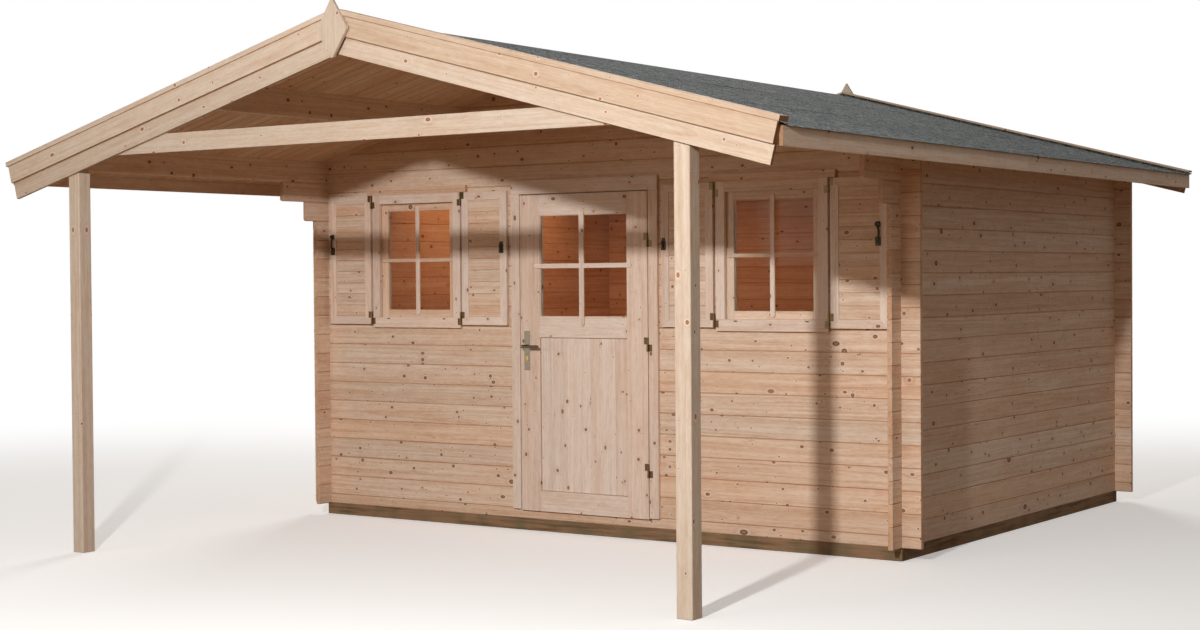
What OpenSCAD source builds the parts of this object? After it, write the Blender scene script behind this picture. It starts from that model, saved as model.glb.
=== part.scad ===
// Wooden garden house: interlocking log boards, gable roof and an open front canopy on two posts.
// X runs along the front, Y from front to back, Z up. The origin is on the ground, under the middle
// of the roof. Heights inside the modules count from the underside of the lowest log.

/* [Logs] */
// Width of the log walls over their outer faces
house_w = 4080; // [3700:10:4600]
// Depth of the log walls over their outer faces
house_d = 3220; // [2600:10:4200]
// Cover height of one log board
log_h = 121; // [117:1:130]
// Thickness of one log board
log_t = 28; // [24:1:40]
// Least number of boards in a side wall, the eave beam included
log_courses = 18; // [16:1:20]
// Depth of the V joint between two boards
groove = 4.5; // [2:0.5:7]
// Length of the log ends beyond a corner
log_end = 110; // [80:5:130]

/* [Base] */
// Height of the treated sleepers under the walls
sleeper_h = 70; // [45:5:100]
// Width of a sleeper
sleeper_w = 70; // [60:5:90]
// Floor joists between the outer sleepers
joists = 7; // [5:2:11]
// Thickness of the floor boards
floor_t = 19; // [16:1:28]

/* [Canopy] */
// Roof edge in front of the front wall
canopy_d = 2088; // [1400:2:2600]
// Side of a square canopy post
post_w = 85; // [70:1:120]
// Rounded-off edge of a post
post_edge = 4; // [1:1:10]
// Reach of the lower corbel log in front of the wall
corbel_short = 205; // [150:5:260]
// Reach of the upper corbel log in front of the wall
corbel_long = 415; // [300:5:600]
// Rounding of the lower corner of a corbel log
corbel_r = 16; // [4:1:30]
// Height of the tie board across the canopy front
tie_h = 100; // [80:5:120]
// Thickness of the tie board
tie_t = 28; // [20:1:40]
// Rise of the tie board above the underside of the eave beams
tie_rise = 71; // [40:1:90]

/* [Roof] */
// Roof pitch in degrees
pitch = 14.75; // [12:0.25:20]
// Roof boards' edge beyond the side walls
eave_out = 445; // [250:5:600]
// Roof edge beyond the back wall
rear_out = 66; // [30:2:80]
// Bevelled extra height of the eave beam
eave_bevel = 6; // [2:1:12]
// Thickness of the roof boards
deck_t = 20; // [16:1:24]
// Thickness of the roofing felt
felt_t = 5; // [3:1:8]
// Felt edge beyond the fascia
felt_out = 6; // [2:1:20]
// Height of the turned-up felt along the gable edges
felt_rise = 9; // [4:1:14]
// Width of a purlin
purlin_w = 45; // [36:1:60]
// Height of a purlin at its taller side
purlin_h = 145; // [120:5:170]
// Distance of a middle purlin from the ridge line
purlin_x = 906; // [700:2:1200]
// Height of a fascia board
fascia_h = 88; // [70:2:110]
// Thickness of a fascia board
fascia_t = 18; // [14:1:24]

/* [Gable trim] */
// Thickness of a barge board
barge_t = 19; // [15:1:24]
// Height of the upper barge board
barge_upper_h = 99; // [80:1:120]
// Height of the lower barge board that shows
barge_lower_h = 92; // [60:1:120]
// Lap of the upper barge board over the lower one
barge_lap = 20; // [10:1:30]
// Height of the single rear barge board
barge_rear_h = 140; // [100:1:180]
// Thickness of the front cover strips
strip_t = 26; // [16:1:32]
// Thickness of the rear cover strips
rear_strip_t = 12; // [8:1:32]
// Front lip of the cover strip over the barge board
strip_lip = 8; // [4:1:14]
// Width of the cover strip over the roof edge
strip_in = 34; // [24:1:60]
// Reach of the barge boards beyond the roof boards
barge_out = 11; // [6:1:20]
// Reach of the cover strip beyond the barge boards
strip_out = 10; // [4:1:30]
// Width of a finial
finial_w = 196; // [140:2:220]
// Height of a finial
finial_h = 298; // [240:2:340]
// Thickness of a finial
finial_t = 16; // [12:1:24]
// Height of the finial tip above the cover strips
finial_up = 50; // [30:1:90]
// Rounding of the finial's side corners
finial_r = 18; // [8:1:30]
// Height of the finial's side corners below its tip
finial_drop = 155; // [110:1:190]
// Rounding of the finial's tip
finial_tip_r = 2; // [1:0.5:8]
// Rounding of the finial's foot
finial_foot_r = 8; // [3:0.5:14]

/* [Door] */
// Width of the door leaf
door_w = 910; // [760:5:960]
// Height of the door leaf
door_h = 1884; // [1700:2:1900]
// Thickness of the door leaf
door_t = 40; // [36:1:48]
// Height of the threshold cut in the sill log
door_sill = 45; // [35:1:55]
// Gap round the door leaf
door_gap = 6; // [5:0.5:8]
// Thickness of the door frame
jamb_t = 25; // [18:1:32]
// Width of the trim round the door
door_trim_w = 62; // [50:1:75]
// Thickness of the trim round the door
trim_t = 20; // [14:1:24]
// Lap of the head boards over the log above an opening
head_lap = 16; // [8:1:40]
// Rise of the door's head board above the windows' head boards
door_head_rise = 12; // [0:1:30]
// Stop behind the door leaf
door_stop = 12; // [8:1:16]
// Width of a door stile
stile_w = 142; // [110:2:160]
// Height of the top, middle and bottom rails
rail_h = 122; // [100:2:140]
// Underside of the middle rail above the door's bottom edge
mid_rail_z = 1037; // [900:1:1100]
// Depth of the panel recess on each side of the leaf
panel_in = 9; // [5:1:12]
// Thickness of the glass
glass_t = 4; // [3:1:6]
// Depth of the glass in its groove
glass_in = 8; // [5:1:12]

/* [Windows] */
// Wall that shows between the door trim and an open shutter
door_clear = 31; // [15:1:60]
// Wall that shows between an open shutter and the corner
corner_clear = 34; // [30:1:120]
// Logs below a window
window_course = 9; // [8:1:10]
// Height of a window from its trim's bottom to its head
window_h = 832; // [700:2:840]
// Width of the window trim
window_trim_w = 58; // [45:1:65]
// Thickness of the window trim
window_trim_t = 24; // [18:1:24]
// Height of the bottom trim
window_base_h = 66; // [55:1:80]
// Lap of the window trim over the logs
window_lap = 30; // [20:1:34]
// Thickness of the window lining
lining_t = 22; // [16:1:26]
// Lap of the window trim's top and bottom over the sash
sash_cover = 6; // [2:1:16]
// Depth of the window lining behind the outer wall face
lining_d = 44; // [40:1:60]
// Width of a sash stile
sash_w = 52; // [45:1:65]
// Thickness of a sash
sash_t = 32; // [26:1:34]
// Sash face behind the outer wall face
sash_in = 6; // [3:1:10]
// Reach of the head board beyond the window trim
head_out = 46; // [20:2:60]

/* [Shutters] */
// Gap between two closed shutters
shutter_meet = 20; // [6:1:30]
// Trim that shows above a closed shutter
shutter_head_short = 2; // [1:1:30]
// Trim that shows below a closed shutter
shutter_base_short = 20; // [6:1:30]
// Thickness of a shutter
shutter_t = 20; // [16:1:22]
// Width of a shutter's frame members
shutter_frame_w = 50; // [40:1:60]
// Depth of a shutter's recessed infill on each face
shutter_in = 4; // [2:1:6]
// Gap between an open shutter and the wall
shutter_gap = 6; // [5:0.5:8]

/* [Ironmongery] */
// Radius of a hinge barrel
barrel_r = 6; // [5:0.5:7]
// Radius of a hinge pin
pin_r = 3; // [2:0.5:4]
// Play of a hinge barrel on its pin
pin_play = 0.3; // [0.2:0.1:0.5]
// Solid top of a hinge barrel above the bore for its pin
pin_cap = 7; // [4:1:12]
// Height of one half of a hinge
hinge_h = 40; // [30:1:45]
// Thickness of a hinge plate
plate_t = 2; // [1.5:0.5:2.5]
// Length of a hinge plate
plate_w = 27; // [20:1:45]
// Distance of a door hinge's middle from the leaf's top and bottom
door_hinge_in = 280; // [200:5:340]
// Height of the middle door hinge above the middle of the leaf
door_hinge_up = 63; // [0:1:120]
// Distance of a shutter hinge's middle from the shutter's ends
shutter_hinge_in = 40; // [38:1:80]
// Height of the lever spindle above the door's bottom edge
lever_z = 983; // [900:1:1030]
// Distance of the lever spindle from the leaf's closing edge
lever_in = 50; // [40:1:60]
// Reach of the lever grip
lever_l = 120; // [90:5:140]
// Radius of the lever grip
lever_r = 8; // [6:0.5:10]
// Distance of the lever grip from the leaf
lever_out = 52; // [40:1:60]
// Radius of the lever's neck
neck_r = 10; // [8:0.5:12]
// Radius of the lever spindle
spindle_r = 5; // [4:0.5:6]
// Width of the lock plate
lock_w = 42; // [36:1:50]
// Height of the lock plate
lock_h = 234; // [180:2:260]
// Part of the lock plate below the spindle
lock_below = 143; // [100:1:170]
// Thickness of the lock plate
lock_t = 4; // [3:1:6]

/* [Hidden] */
$fn = 32;

wood = "burlywood";
shade = "peru";
// Small overrun that carries a cutter through a face
cut = 1;
// Gap at which one piece is seated on a sloping face or a hinge's shoulder
seat = 0.3;
// Distance of a shutter's front face behind its hinge pins
shutter_back = 3;
// Clearance beside a hinge barrel
barrel_clear = 2;
// Distance of a door hinge's barrel in front of the leaf
barrel_out = 0.5;
// Gap between the boards of the two slopes at the apex, on each side of the middle
apex_gap = 0.5;
// Lap of a window's trim over the log below it
lap_below = 12;

// Plan
half_w = house_w / 2;
half_in = half_w - log_t;
roof_l = canopy_d + house_d + rear_out;
front_trim = 2 * barge_t + strip_lip + finial_t;
rear_trim = barge_t + strip_lip + finial_t;
front_edge = front_trim - (front_trim + roof_l + rear_trim) / 2;
rear_edge = front_edge + roof_l;
front_y = front_edge + canopy_d;
back_y = front_y + house_d;
post_gap = 2;

// Heights above the lowest log's underside
slope = tan(pitch);
head_z = door_sill + 2 * door_gap + door_h;
window_bottom = log_h / 2 + window_course * log_h;
trim_bottom = window_bottom - lap_below;
window_top = trim_bottom + window_h;
lintel_course = ceil((max(head_z + jamb_t, window_top) - log_h / 2) / log_h);
lintel_z = log_h / 2 + lintel_course * log_h;
courses = max(log_courses, lintel_course + 2);
eave_beam_z = (courses - 1) * log_h;
eave_z = courses * log_h + eave_bevel;
ridge_z = eave_z + slope * half_w;
notch_h = log_h / 4;

// Roof layers, square to the slope
deck_top = seat + deck_t;
felt_low = deck_top + seat;
felt_top = felt_low + felt_t;
barge_top = felt_top + felt_rise;
strip_low = barge_top + seat;
barge_reach = eave_out + barge_out;
fascia_x = half_w + eave_out + deck_top * sin(pitch);

// Openings. The windows and their open shutters fill the wall between the door and the corners
door_half = door_w / 2 + door_gap;
doorway_half = door_half + jamb_t;
door_side = door_half + door_trim_w;
hinge_side = barrel_r + barrel_clear;
window_reach = (half_in - door_side - door_clear - corner_clear) / 2;
window_w = window_reach - 2 * hinge_side + shutter_meet / 2;
window_x = door_side + door_clear + window_reach;
window_half = window_w / 2 - window_lap;
lining_half = window_half - lining_t;
sash_z0 = trim_bottom + window_base_h - sash_cover;
sash_z1 = window_top - window_trim_w + sash_cover;
leaf_front = front_y - trim_t;

// Pivots of the door, its lever and the shutters
door_pivot = [door_w / 2 + door_gap / 2, leaf_front - barrel_r - barrel_out];
lever_x = -door_w / 2 + lever_in;
lever_zz = door_sill + door_gap + lever_z;
shutter_z0 = trim_bottom + shutter_base_short;
shutter_h = window_h - shutter_base_short - shutter_head_short;
shutter_pivot_y = front_y - shutter_gap - shutter_t - shutter_back;
shutter_pivot_x = window_w / 2 + hinge_side;
shutter_start = barrel_r + barrel_clear;
shutter_w = shutter_pivot_x - shutter_start - shutter_meet / 2;

// Raises heights from the lowest log's underside to the ground
module on_base() {
  translate([0, 0, sleeper_h])
    children();
}

// Copies a piece of the right half to the left half
module both_sides() {
  children();
  mirror([1, 0, 0])
    children();
}

// Box given by its lowest and highest corners
module span(a, b) {
  translate(a)
    cube(b - a);
}

// ---- Log walls ----

// Joint heights of a wall whose first joint lies at `first`
function joints(z0, z1, first) =
  [for (k = [0:40]) let (z = first + k * log_h) if (z > z0 + 2 * groove && z < z1 - 2 * groove) z];

// One face of a log wall from its bottom to its top, with a V at every joint
function log_face(x, inward, z0, z1, first) = concat(
  [[x + inward * groove, z0], [x, z0 + groove]],
  [for (z = joints(z0, z1, first)) each [[x, z - groove], [x + inward * groove, z], [x, z + groove]]],
  [[x, z1 - groove], [x + inward * groove, z1]]);

// Points of a list from the last to the first
function reversed(p) = [for (i = [len(p) - 1:-1:0]) p[i]];

// Cross-section of a log wall
module log_section(z0, z1, first) {
  polygon(concat(log_face(0, 1, z0, z1, first), reversed(log_face(log_t, -1, z0, z1, first))));
}

// Log wall that runs along X, with its outer or inner face at y
module log_wall_x(x0, x1, y, z0, z1) {
  translate([x0, y, 0])
    rotate([90, 0, 90])
      linear_extrude(x1 - x0)
        log_section(z0, z1, log_h / 2);
}

// Log wall that runs along Y, with a face at x
module log_wall_y(y0, y1, x, z0, z1) {
  translate([x, y1, 0])
    rotate([90, 0, 0])
      linear_extrude(y1 - y0)
        log_section(z0, z1, log_h);
}

// Corner columns where an end wall at y crosses the side walls, at the side boards' necks
module side_necks(y) {
  for (k = [0:courses - 1], x = [-half_w, half_in])
    span([x, y - cut, k * log_h + notch_h], [x + log_t, y + log_t + cut, (k + 1) * log_h - notch_h]);
}

// The end walls' necks, which the side walls leave free
module end_necks() {
  for (k = [0:courses], y = [front_y, back_y - log_t], x = [-half_w, half_in])
    span([x - cut, y, k * log_h - notch_h], [x + log_t + cut, y + log_t, k * log_h + notch_h]);
}

// Cutter that rounds the lower front corner of a corbel log
module corbel_corner(y, z) {
  difference() {
    span([-house_w, y - cut, z - cut], [house_w, y + corbel_r, z + corbel_r]);
    translate([-house_w, y + corbel_r, z + corbel_r])
      rotate([0, 90, 0])
        cylinder(r = corbel_r, h = 2 * house_w);
  }
}

// Side wall: the full-length boards, then the two corbel boards that step out under the eave beam
module side_wall(x) {
  color(shade)
    on_base()
      difference() {
        union() {
          log_wall_y(front_y - log_end, back_y + log_end, x, 0, eave_beam_z - 2 * log_h);
          log_wall_y(front_y - corbel_short, back_y + log_end, x,
            eave_beam_z - 2 * log_h, eave_beam_z - log_h);
          log_wall_y(front_y - corbel_long, back_y + log_end, x, eave_beam_z - log_h, eave_beam_z);
        }
        end_necks();
        corbel_corner(front_y - corbel_short, eave_beam_z - 2 * log_h);
        corbel_corner(front_y - corbel_long, eave_beam_z - log_h);
      }
}

module side_wall_left() {
  side_wall(-half_w);
}

module side_wall_right() {
  side_wall(half_in);
}

// Top board of each side wall, run on to the canopy front and bevelled to the roof
module eave_beams() {
  color(shade)
    on_base()
      both_sides()
        difference() {
          translate([0, rear_edge, 0])
            rotate([90, 0, 0])
              linear_extrude(roof_l)
                polygon([[half_in, eave_beam_z + groove], [half_in + groove, eave_beam_z],
                  [half_w - groove, eave_beam_z], [half_w, eave_beam_z + groove],
                  [half_w, eave_z], [half_in, eave_z + slope * log_t]]);
          for (y = [front_y, back_y - log_t]) {
            span([half_in - cut, y, eave_beam_z - cut],
              [half_w + cut, y + log_t, eave_beam_z + notch_h]);
            span([half_in - cut, y, eave_beam_z + log_h - notch_h],
              [half_w + cut, y + log_t, eave_z + log_t]);
          }
        }
}

module back_wall() {
  color(wood)
    on_base()
      difference() {
        log_wall_x(-half_w - log_end, half_w + log_end, back_y - log_t, 0, lintel_z);
        side_necks(back_y - log_t);
      }
}

// Lowest half board of the front wall, cut down at the doorway
module front_sill_log() {
  color(wood)
    on_base()
      difference() {
        log_wall_x(-half_w - log_end, half_w + log_end, front_y, 0, log_h / 2);
        side_necks(front_y);
        span([-doorway_half, front_y - cut, door_sill], [doorway_half, front_y + log_t + cut, log_h]);
      }
}

// Front wall to the right of the doorway, with its window opening
module front_wall_half() {
  on_base()
    difference() {
      log_wall_x(doorway_half, half_w + log_end, front_y, log_h / 2, lintel_z);
      side_necks(front_y);
      span([window_x - window_half, front_y - cut, window_bottom],
        [window_x + window_half, front_y + log_t + cut, lintel_z + cut]);
    }
}

module front_wall_right() {
  color(wood)
    front_wall_half();
}

module front_wall_left() {
  color(wood)
    mirror([1, 0, 0])
      front_wall_half();
}

// Everything under the roof boards, as a long prism
module under_roof() {
  translate([0, rear_edge + cut, 0])
    rotate([90, 0, 0])
      linear_extrude(roof_l + 2 * cut)
        polygon([[-house_w, 0], [house_w, 0], [house_w, ridge_z - slope * house_w], [0, ridge_z],
          [-house_w, ridge_z - slope * house_w]]);
}

// Notch through the end wall at y for the purlin whose left side is at x
module purlin_notch(x, y) {
  foot = x > -purlin_x && x < 0 ? ridge_z - purlin_h : ridge_z - slope * purlin_x - purlin_h;
  span([x, y - cut, foot], [x + purlin_w, y + log_t + cut, ridge_z + log_h]);
}

// Upper end wall at y, cut to the roof and notched for the purlins
module gable(y) {
  on_base()
    difference() {
      intersection() {
        log_wall_x(-half_w - log_end, half_w + log_end, y, lintel_z, ridge_z + log_h);
        under_roof();
      }
      side_necks(y);
      for (x = [-purlin_x - purlin_w, -purlin_w / 2, purlin_x])
        purlin_notch(x, y);
    }
}

module front_gable() {
  color(wood)
    gable(front_y);
}

module back_gable() {
  color(wood)
    gable(back_y - log_t);
}

// ---- Base ----

// Sleepers under the front and back walls
module cross_sleepers() {
  color("saddlebrown")
    for (y = [front_y, back_y - sleeper_w])
      span([-half_w, y, 0], [half_w, y + sleeper_w, sleeper_h]);
}

// Sleepers under the side walls and the floor joists between them
module sleepers() {
  pitch_x = (house_w - sleeper_w) / (joists + 1);
  color("saddlebrown")
    for (i = [0:joists + 1])
      translate([-half_w + i * pitch_x, front_y + sleeper_w, 0])
        cube([sleeper_w, house_d - 2 * sleeper_w, sleeper_h]);
}

module floor_boards() {
  color(shade)
    on_base()
      span([-half_in, front_y + log_t, 0], [half_in, back_y - log_t, floor_t]);
}

// ---- Canopy ----

// Post outline with its edges eased
module post_section() {
  e = post_edge;
  polygon([[e, 0], [post_w - e, 0], [post_w, e], [post_w, post_w - e],
    [post_w - e, post_w], [e, post_w], [0, post_w - e], [0, e]]);
}

module posts() {
  color("wheat")
    both_sides()
      translate([half_w - post_w, front_edge + post_gap, 0])
        linear_extrude(sleeper_h + eave_beam_z)
          post_section();
}

module tie_board() {
  color("wheat")
    on_base()
      intersection() {
        span([-half_in, front_edge + post_gap, eave_beam_z + tie_rise],
          [half_in, front_edge + post_gap + tie_t, eave_beam_z + tie_rise + tie_h]);
        under_roof();
      }
}

// ---- Roof ----

// Middle purlins, bevelled to the roof
module purlin_solids() {
  both_sides()
    translate([0, rear_edge, 0])
      rotate([90, 0, 0])
        linear_extrude(roof_l)
          polygon([[purlin_x, ridge_z - slope * purlin_x - purlin_h],
            [purlin_x + purlin_w, ridge_z - slope * purlin_x - purlin_h],
            [purlin_x + purlin_w, ridge_z - slope * (purlin_x + purlin_w)],
            [purlin_x, ridge_z - slope * purlin_x]]);
}

module ridge_purlin_solid() {
  w = purlin_w / 2;
  translate([0, rear_edge, 0])
    rotate([90, 0, 0])
      linear_extrude(roof_l)
        polygon([[-w, ridge_z - purlin_h], [w, ridge_z - purlin_h], [w, ridge_z - slope * w],
          [0, ridge_z], [-w, ridge_z - slope * w]]);
}

module middle_purlins() {
  color(shade)
    on_base()
      purlin_solids();
}

module ridge_purlin() {
  color(shade)
    on_base()
      ridge_purlin_solid();
}

// Layer of the right roof slope between two heights square to the slope, out to `out` beyond the
// side wall, from y0 to y1; its end is square to the slope and its ridge edge is upright
module slope_layer(v0, v1, out, y0, y1) {
  c = cos(pitch);
  s = sin(pitch);
  x = half_w + out;
  foot = [x, ridge_z - slope * x];
  translate([0, y1, 0])
    rotate([90, 0, 0])
      linear_extrude(y1 - y0)
        polygon([[0, ridge_z + v0 / c], foot + v0 * [s, c], foot + v1 * [s, c], [0, ridge_z + v1 / c]]);
}

module roof_boards_right() {
  color(shade)
    on_base()
      slope_layer(seat, deck_top, eave_out, front_edge, rear_edge);
}

module roof_boards_left() {
  mirror([1, 0, 0])
    roof_boards_right();
}

// Felt sheet with its turned-up gable edges
module roof_felt_right() {
  reach = fascia_x + fascia_t + felt_out - half_w;
  color("darkslategray")
    on_base()
      union() {
        slope_layer(felt_low, felt_top, reach, front_edge, rear_edge);
        slope_layer(felt_low, barge_top, reach, front_edge, front_edge + strip_in);
        slope_layer(felt_low, barge_top, reach, rear_edge - strip_in, rear_edge);
      }
}

module roof_felt_left() {
  mirror([1, 0, 0])
    roof_felt_right();
}

// Upright boards on the ends of the roof boards
module fascia_boards() {
  top = ridge_z - slope * (fascia_x + fascia_t) + deck_top / cos(pitch);
  color(wood)
    on_base()
      both_sides()
        span([fascia_x, front_edge, top - fascia_h], [fascia_x + fascia_t, rear_edge, top]);
}

// Keeps the right half clear of the left one at the apex
module apex_joint() {
  difference() {
    union()
      children();
    translate([-cut, -roof_l, 0])
      cube([cut + apex_gap, 2 * roof_l, 2 * ridge_z]);
  }
}

// Upper barge boards, with the lower ones lapped behind them
module front_barge_boards() {
  low = barge_top - barge_upper_h;
  color("wheat")
    on_base()
      both_sides()
        apex_joint() {
          slope_layer(low, barge_top, barge_reach, front_edge - 2 * barge_t, front_edge - barge_t);
          slope_layer(low - barge_lower_h, low + barge_lap, barge_reach,
            front_edge - barge_t, front_edge);
        }
}

module rear_barge_boards() {
  color("wheat")
    on_base()
      both_sides()
        apex_joint()
          slope_layer(barge_top - barge_rear_h, barge_top, barge_reach, rear_edge,
            rear_edge + barge_t);
}

// Cover strips on the barge boards' top edges
module cover_strips(t, y0, y1) {
  color("wheat")
    on_base()
      both_sides()
        apex_joint()
          slope_layer(strip_low, strip_low + t, barge_reach + strip_out, y0, y1);
}

module front_cover_strips() {
  cover_strips(strip_t, front_edge - front_trim + finial_t, front_edge + strip_in);
}

module rear_cover_strips() {
  cover_strips(rear_strip_t, rear_edge - strip_in, rear_edge + rear_trim - finial_t);
}

// Kite outline with rounded side corners, its tip at the origin
module finial_outline() {
  w = finial_w / 2 - finial_r;
  hull() {
    translate([0, -finial_tip_r])
      circle(r = finial_tip_r, $fn = 24);
    for (s = [-1, 1])
      translate([s * w, -finial_drop])
        circle(r = finial_r, $fn = 24);
    translate([0, -finial_h + finial_foot_r])
      circle(r = finial_foot_r, $fn = 24);
  }
}

module finial(y) {
  tip = ridge_z + (strip_low + strip_t) / cos(pitch) + finial_up;
  translate([0, y, tip])
    rotate([90, 0, 0])
      linear_extrude(finial_t)
        finial_outline();
}

// Finials on the faces of the cover strips
module finials() {
  color("wheat")
    on_base() {
      finial(front_edge - front_trim + finial_t);
      finial(rear_edge + rear_trim);
    }
}

// ---- Door ----

// Lining, stop and outer trim round the door leaf
module door_frame() {
  lining = leaf_front + door_t + door_gap;
  bottom = door_sill;
  color(wood)
    on_base()
      difference() {
        union() {
          span([-doorway_half, front_y, bottom], [doorway_half, lining + door_stop, lintel_z]);
          span([-door_half - door_trim_w, front_y - trim_t, log_h / 2],
            [door_half + door_trim_w, front_y, lintel_z + head_lap + door_head_rise]);
        }
        span([-door_half, front_y - trim_t - cut, 0], [door_half, lining, head_z]);
        span([-door_half + door_stop, lining - cut, 0],
          [door_half - door_stop, lining + door_stop + cut, head_z - door_stop]);
      }
}

// Panes of the door, as far as their grooves
module door_pane(grow) {
  z = door_sill + door_gap;
  span([-door_w / 2 + stile_w - grow, leaf_front + door_t / 2 - glass_t / 2,
      z + mid_rail_z + rail_h - grow],
    [door_w / 2 - stile_w + grow, leaf_front + door_t / 2 + glass_t / 2, z + door_h - rail_h + grow]);
}

module door_leaf() {
  z = door_sill + door_gap;
  x = door_w / 2;
  panel = [x - stile_w, z + rail_h, z + mid_rail_z];
  color("wheat")
    on_base()
      difference() {
        span([-x, leaf_front, z], [x, leaf_front + door_t, z + door_h]);
        span([-x + stile_w, leaf_front - cut, z + mid_rail_z + rail_h],
          [x - stile_w, leaf_front + door_t + cut, z + door_h - rail_h]);
        door_pane(glass_in);
        for (y = [leaf_front - panel_in, leaf_front + door_t - panel_in])
          span([-panel[0], y, panel[1]], [panel[0], y + 2 * panel_in, panel[2]]);
        translate([lever_x, leaf_front - cut, lever_zz])
          rotate([-90, 0, 0])
            cylinder(r = spindle_r + pin_play, h = door_t + 2 * cut);
      }
}

module door_glass() {
  color("lightblue", 0.4)
    on_base()
      door_pane(glass_in);
}

// Heights of the door hinges' middles
function door_hinge_heights() =
  let (z = door_sill + door_gap) [z + door_hinge_in, z + door_h / 2 + door_hinge_up, z + door_h - door_hinge_in];

// Fixed half of a hinge: a barrel with a pin on top and a plate that runs to x1 at y0
module pin_half(x, y, z, x1, y0) {
  translate([x, y, z - hinge_h])
    cylinder(r = barrel_r, h = hinge_h - seat);
  translate([x, y, z - seat - cut])
    cylinder(r = pin_r, h = hinge_h - pin_cap + seat);
  span([min(x, x1), y0, z - hinge_h], [max(x, x1), y0 + plate_t, z - seat]);
  if (abs(y - y0) > barrel_r)
    span([x - plate_t, min(y, y0), z - hinge_h], [x + plate_t, max(y, y0), z - seat]);
}

// Moving half of a hinge: a bored barrel with a plate that runs to x1 at y0
module barrel_half(x, y, z, x1, y0) {
  difference() {
    union() {
      translate([x, y, z])
        cylinder(r = barrel_r, h = hinge_h);
      span([min(x, x1), y0, z], [max(x, x1), y0 + plate_t, z + hinge_h]);
    }
    translate([x, y, z - cut])
      cylinder(r = pin_r + pin_play, h = hinge_h - pin_cap + cut);
  }
}

module door_hinge_pins() {
  x = door_pivot[0];
  color("dimgray")
    on_base()
      for (z = door_hinge_heights())
        pin_half(x, door_pivot[1], z, x + plate_w, leaf_front - plate_t);
}

module door_hinge_leaves() {
  x = door_pivot[0];
  color("dimgray")
    on_base()
      for (z = door_hinge_heights())
        barrel_half(x, door_pivot[1], z, x - plate_w, leaf_front - plate_t);
}

// Long plates on both faces of the leaf, bored for the spindle
module lock_plates() {
  low = lever_zz - lock_below;
  color("silver")
    on_base()
      difference() {
        for (y = [leaf_front - lock_t, leaf_front + door_t])
          span([lever_x - lock_w / 2, y, low], [lever_x + lock_w / 2, y + lock_t, low + lock_h]);
        translate([lever_x, leaf_front - 2 * lock_t, lever_zz])
          rotate([-90, 0, 0])
            cylinder(r = spindle_r + pin_play, h = door_t + 4 * lock_t);
      }
}

// One lever grip in front of y, its neck pointing to the leaf
module lever_grip(y, way) {
  translate([lever_x, y, lever_zz])
    rotate([way * 90, 0, 0])
      cylinder(r = neck_r, h = lever_out - lock_t - seat);
  translate([lever_x, y - way * (lever_out - lock_t - seat), lever_zz]) {
    sphere(r = neck_r);
    rotate([0, 90, 0])
      cylinder(r = lever_r, h = lever_l - lever_r);
    translate([lever_l - lever_r, 0, 0])
      sphere(r = lever_r);
  }
}

module door_lever() {
  near = leaf_front - lock_t - seat;
  far = leaf_front + door_t + lock_t + seat;
  color("silver")
    on_base()
      union() {
        lever_grip(near, 1);
        lever_grip(far, -1);
        translate([lever_x, near - cut, lever_zz])
          rotate([-90, 0, 0])
            cylinder(r = spindle_r, h = far - near + 2 * cut);
      }
}

// ---- Windows ----

// Lining, trim and head board of the right window
module window_frame() {
  x0 = window_x - window_w / 2;
  x1 = window_x + window_w / 2;
  back = front_y + lining_d;
  inside = front_y + log_t;
  on_base()
    difference() {
      union() {
        span([window_x - window_half, front_y, window_bottom],
          [window_x + window_half, back, window_top]);
        span([x0, front_y - window_trim_t, trim_bottom], [x1, front_y, window_top]);
        span([x0 - head_out, front_y - window_trim_t, window_top],
          [x1 + head_out, front_y, lintel_z + head_lap]);
        span([x0, inside, trim_bottom], [x1, back, lintel_z + head_lap]);
      }
      span([window_x - lining_half, front_y, sash_z0], [window_x + lining_half, back + cut, sash_z1]);
      span([x0 + window_trim_w, front_y - window_trim_t - cut, trim_bottom + window_base_h],
        [x1 - window_trim_w, front_y + cut, window_top - window_trim_w]);
    }
}

module window_frames() {
  color(wood)
    both_sides()
      window_frame();
}

// Pane of the right window, as far as its groove
module window_pane(grow) {
  y = front_y + sash_in + sash_t / 2 - glass_t / 2;
  span([window_x - lining_half + sash_w - grow, y, sash_z0 + sash_w - grow],
    [window_x + lining_half - sash_w + grow, y + glass_t, sash_z1 - sash_w + grow]);
}

module window_sash() {
  y = front_y + sash_in;
  on_base()
    difference() {
      span([window_x - lining_half, y, sash_z0], [window_x + lining_half, y + sash_t, sash_z1]);
      span([window_x - lining_half + sash_w, y - cut, sash_z0 + sash_w],
        [window_x + lining_half - sash_w, y + sash_t + cut, sash_z1 - sash_w]);
      window_pane(glass_in);
    }
}

module window_sashes() {
  color("wheat")
    both_sides()
      window_sash();
}

module window_glass() {
  color("lightblue", 0.4)
    on_base()
      both_sides()
        window_pane(glass_in);
}

// ---- Shutters ----

// Open shutter on the right side of the right window: side 1, or on its left side: side -1
module shutter_at(side) {
  x = window_x + side * (shutter_pivot_x + shutter_start);
  y = shutter_pivot_y + shutter_back;
  f = shutter_frame_w;
  a = min(x, x + side * shutter_w);
  b = max(x, x + side * shutter_w);
  on_base()
    difference() {
      span([a, y, shutter_z0], [b, y + shutter_t, shutter_z0 + shutter_h]);
      for (s = [y - shutter_in, y + shutter_t - shutter_in])
        span([a + f, s, shutter_z0 + f], [b - f, s + 2 * shutter_in, shutter_z0 + shutter_h - f]);
    }
}

// Middles of the hinges of a shutter
function shutter_hinge_heights() =
  [shutter_z0 + shutter_hinge_in, shutter_z0 + shutter_h - shutter_hinge_in];

module shutter_hinges_at(side) {
  x = window_x + side * shutter_pivot_x;
  y = shutter_pivot_y;
  on_base()
    for (z = shutter_hinge_heights())
      barrel_half(x, y, z, x + side * plate_w, y + shutter_back - plate_t);
}

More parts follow.
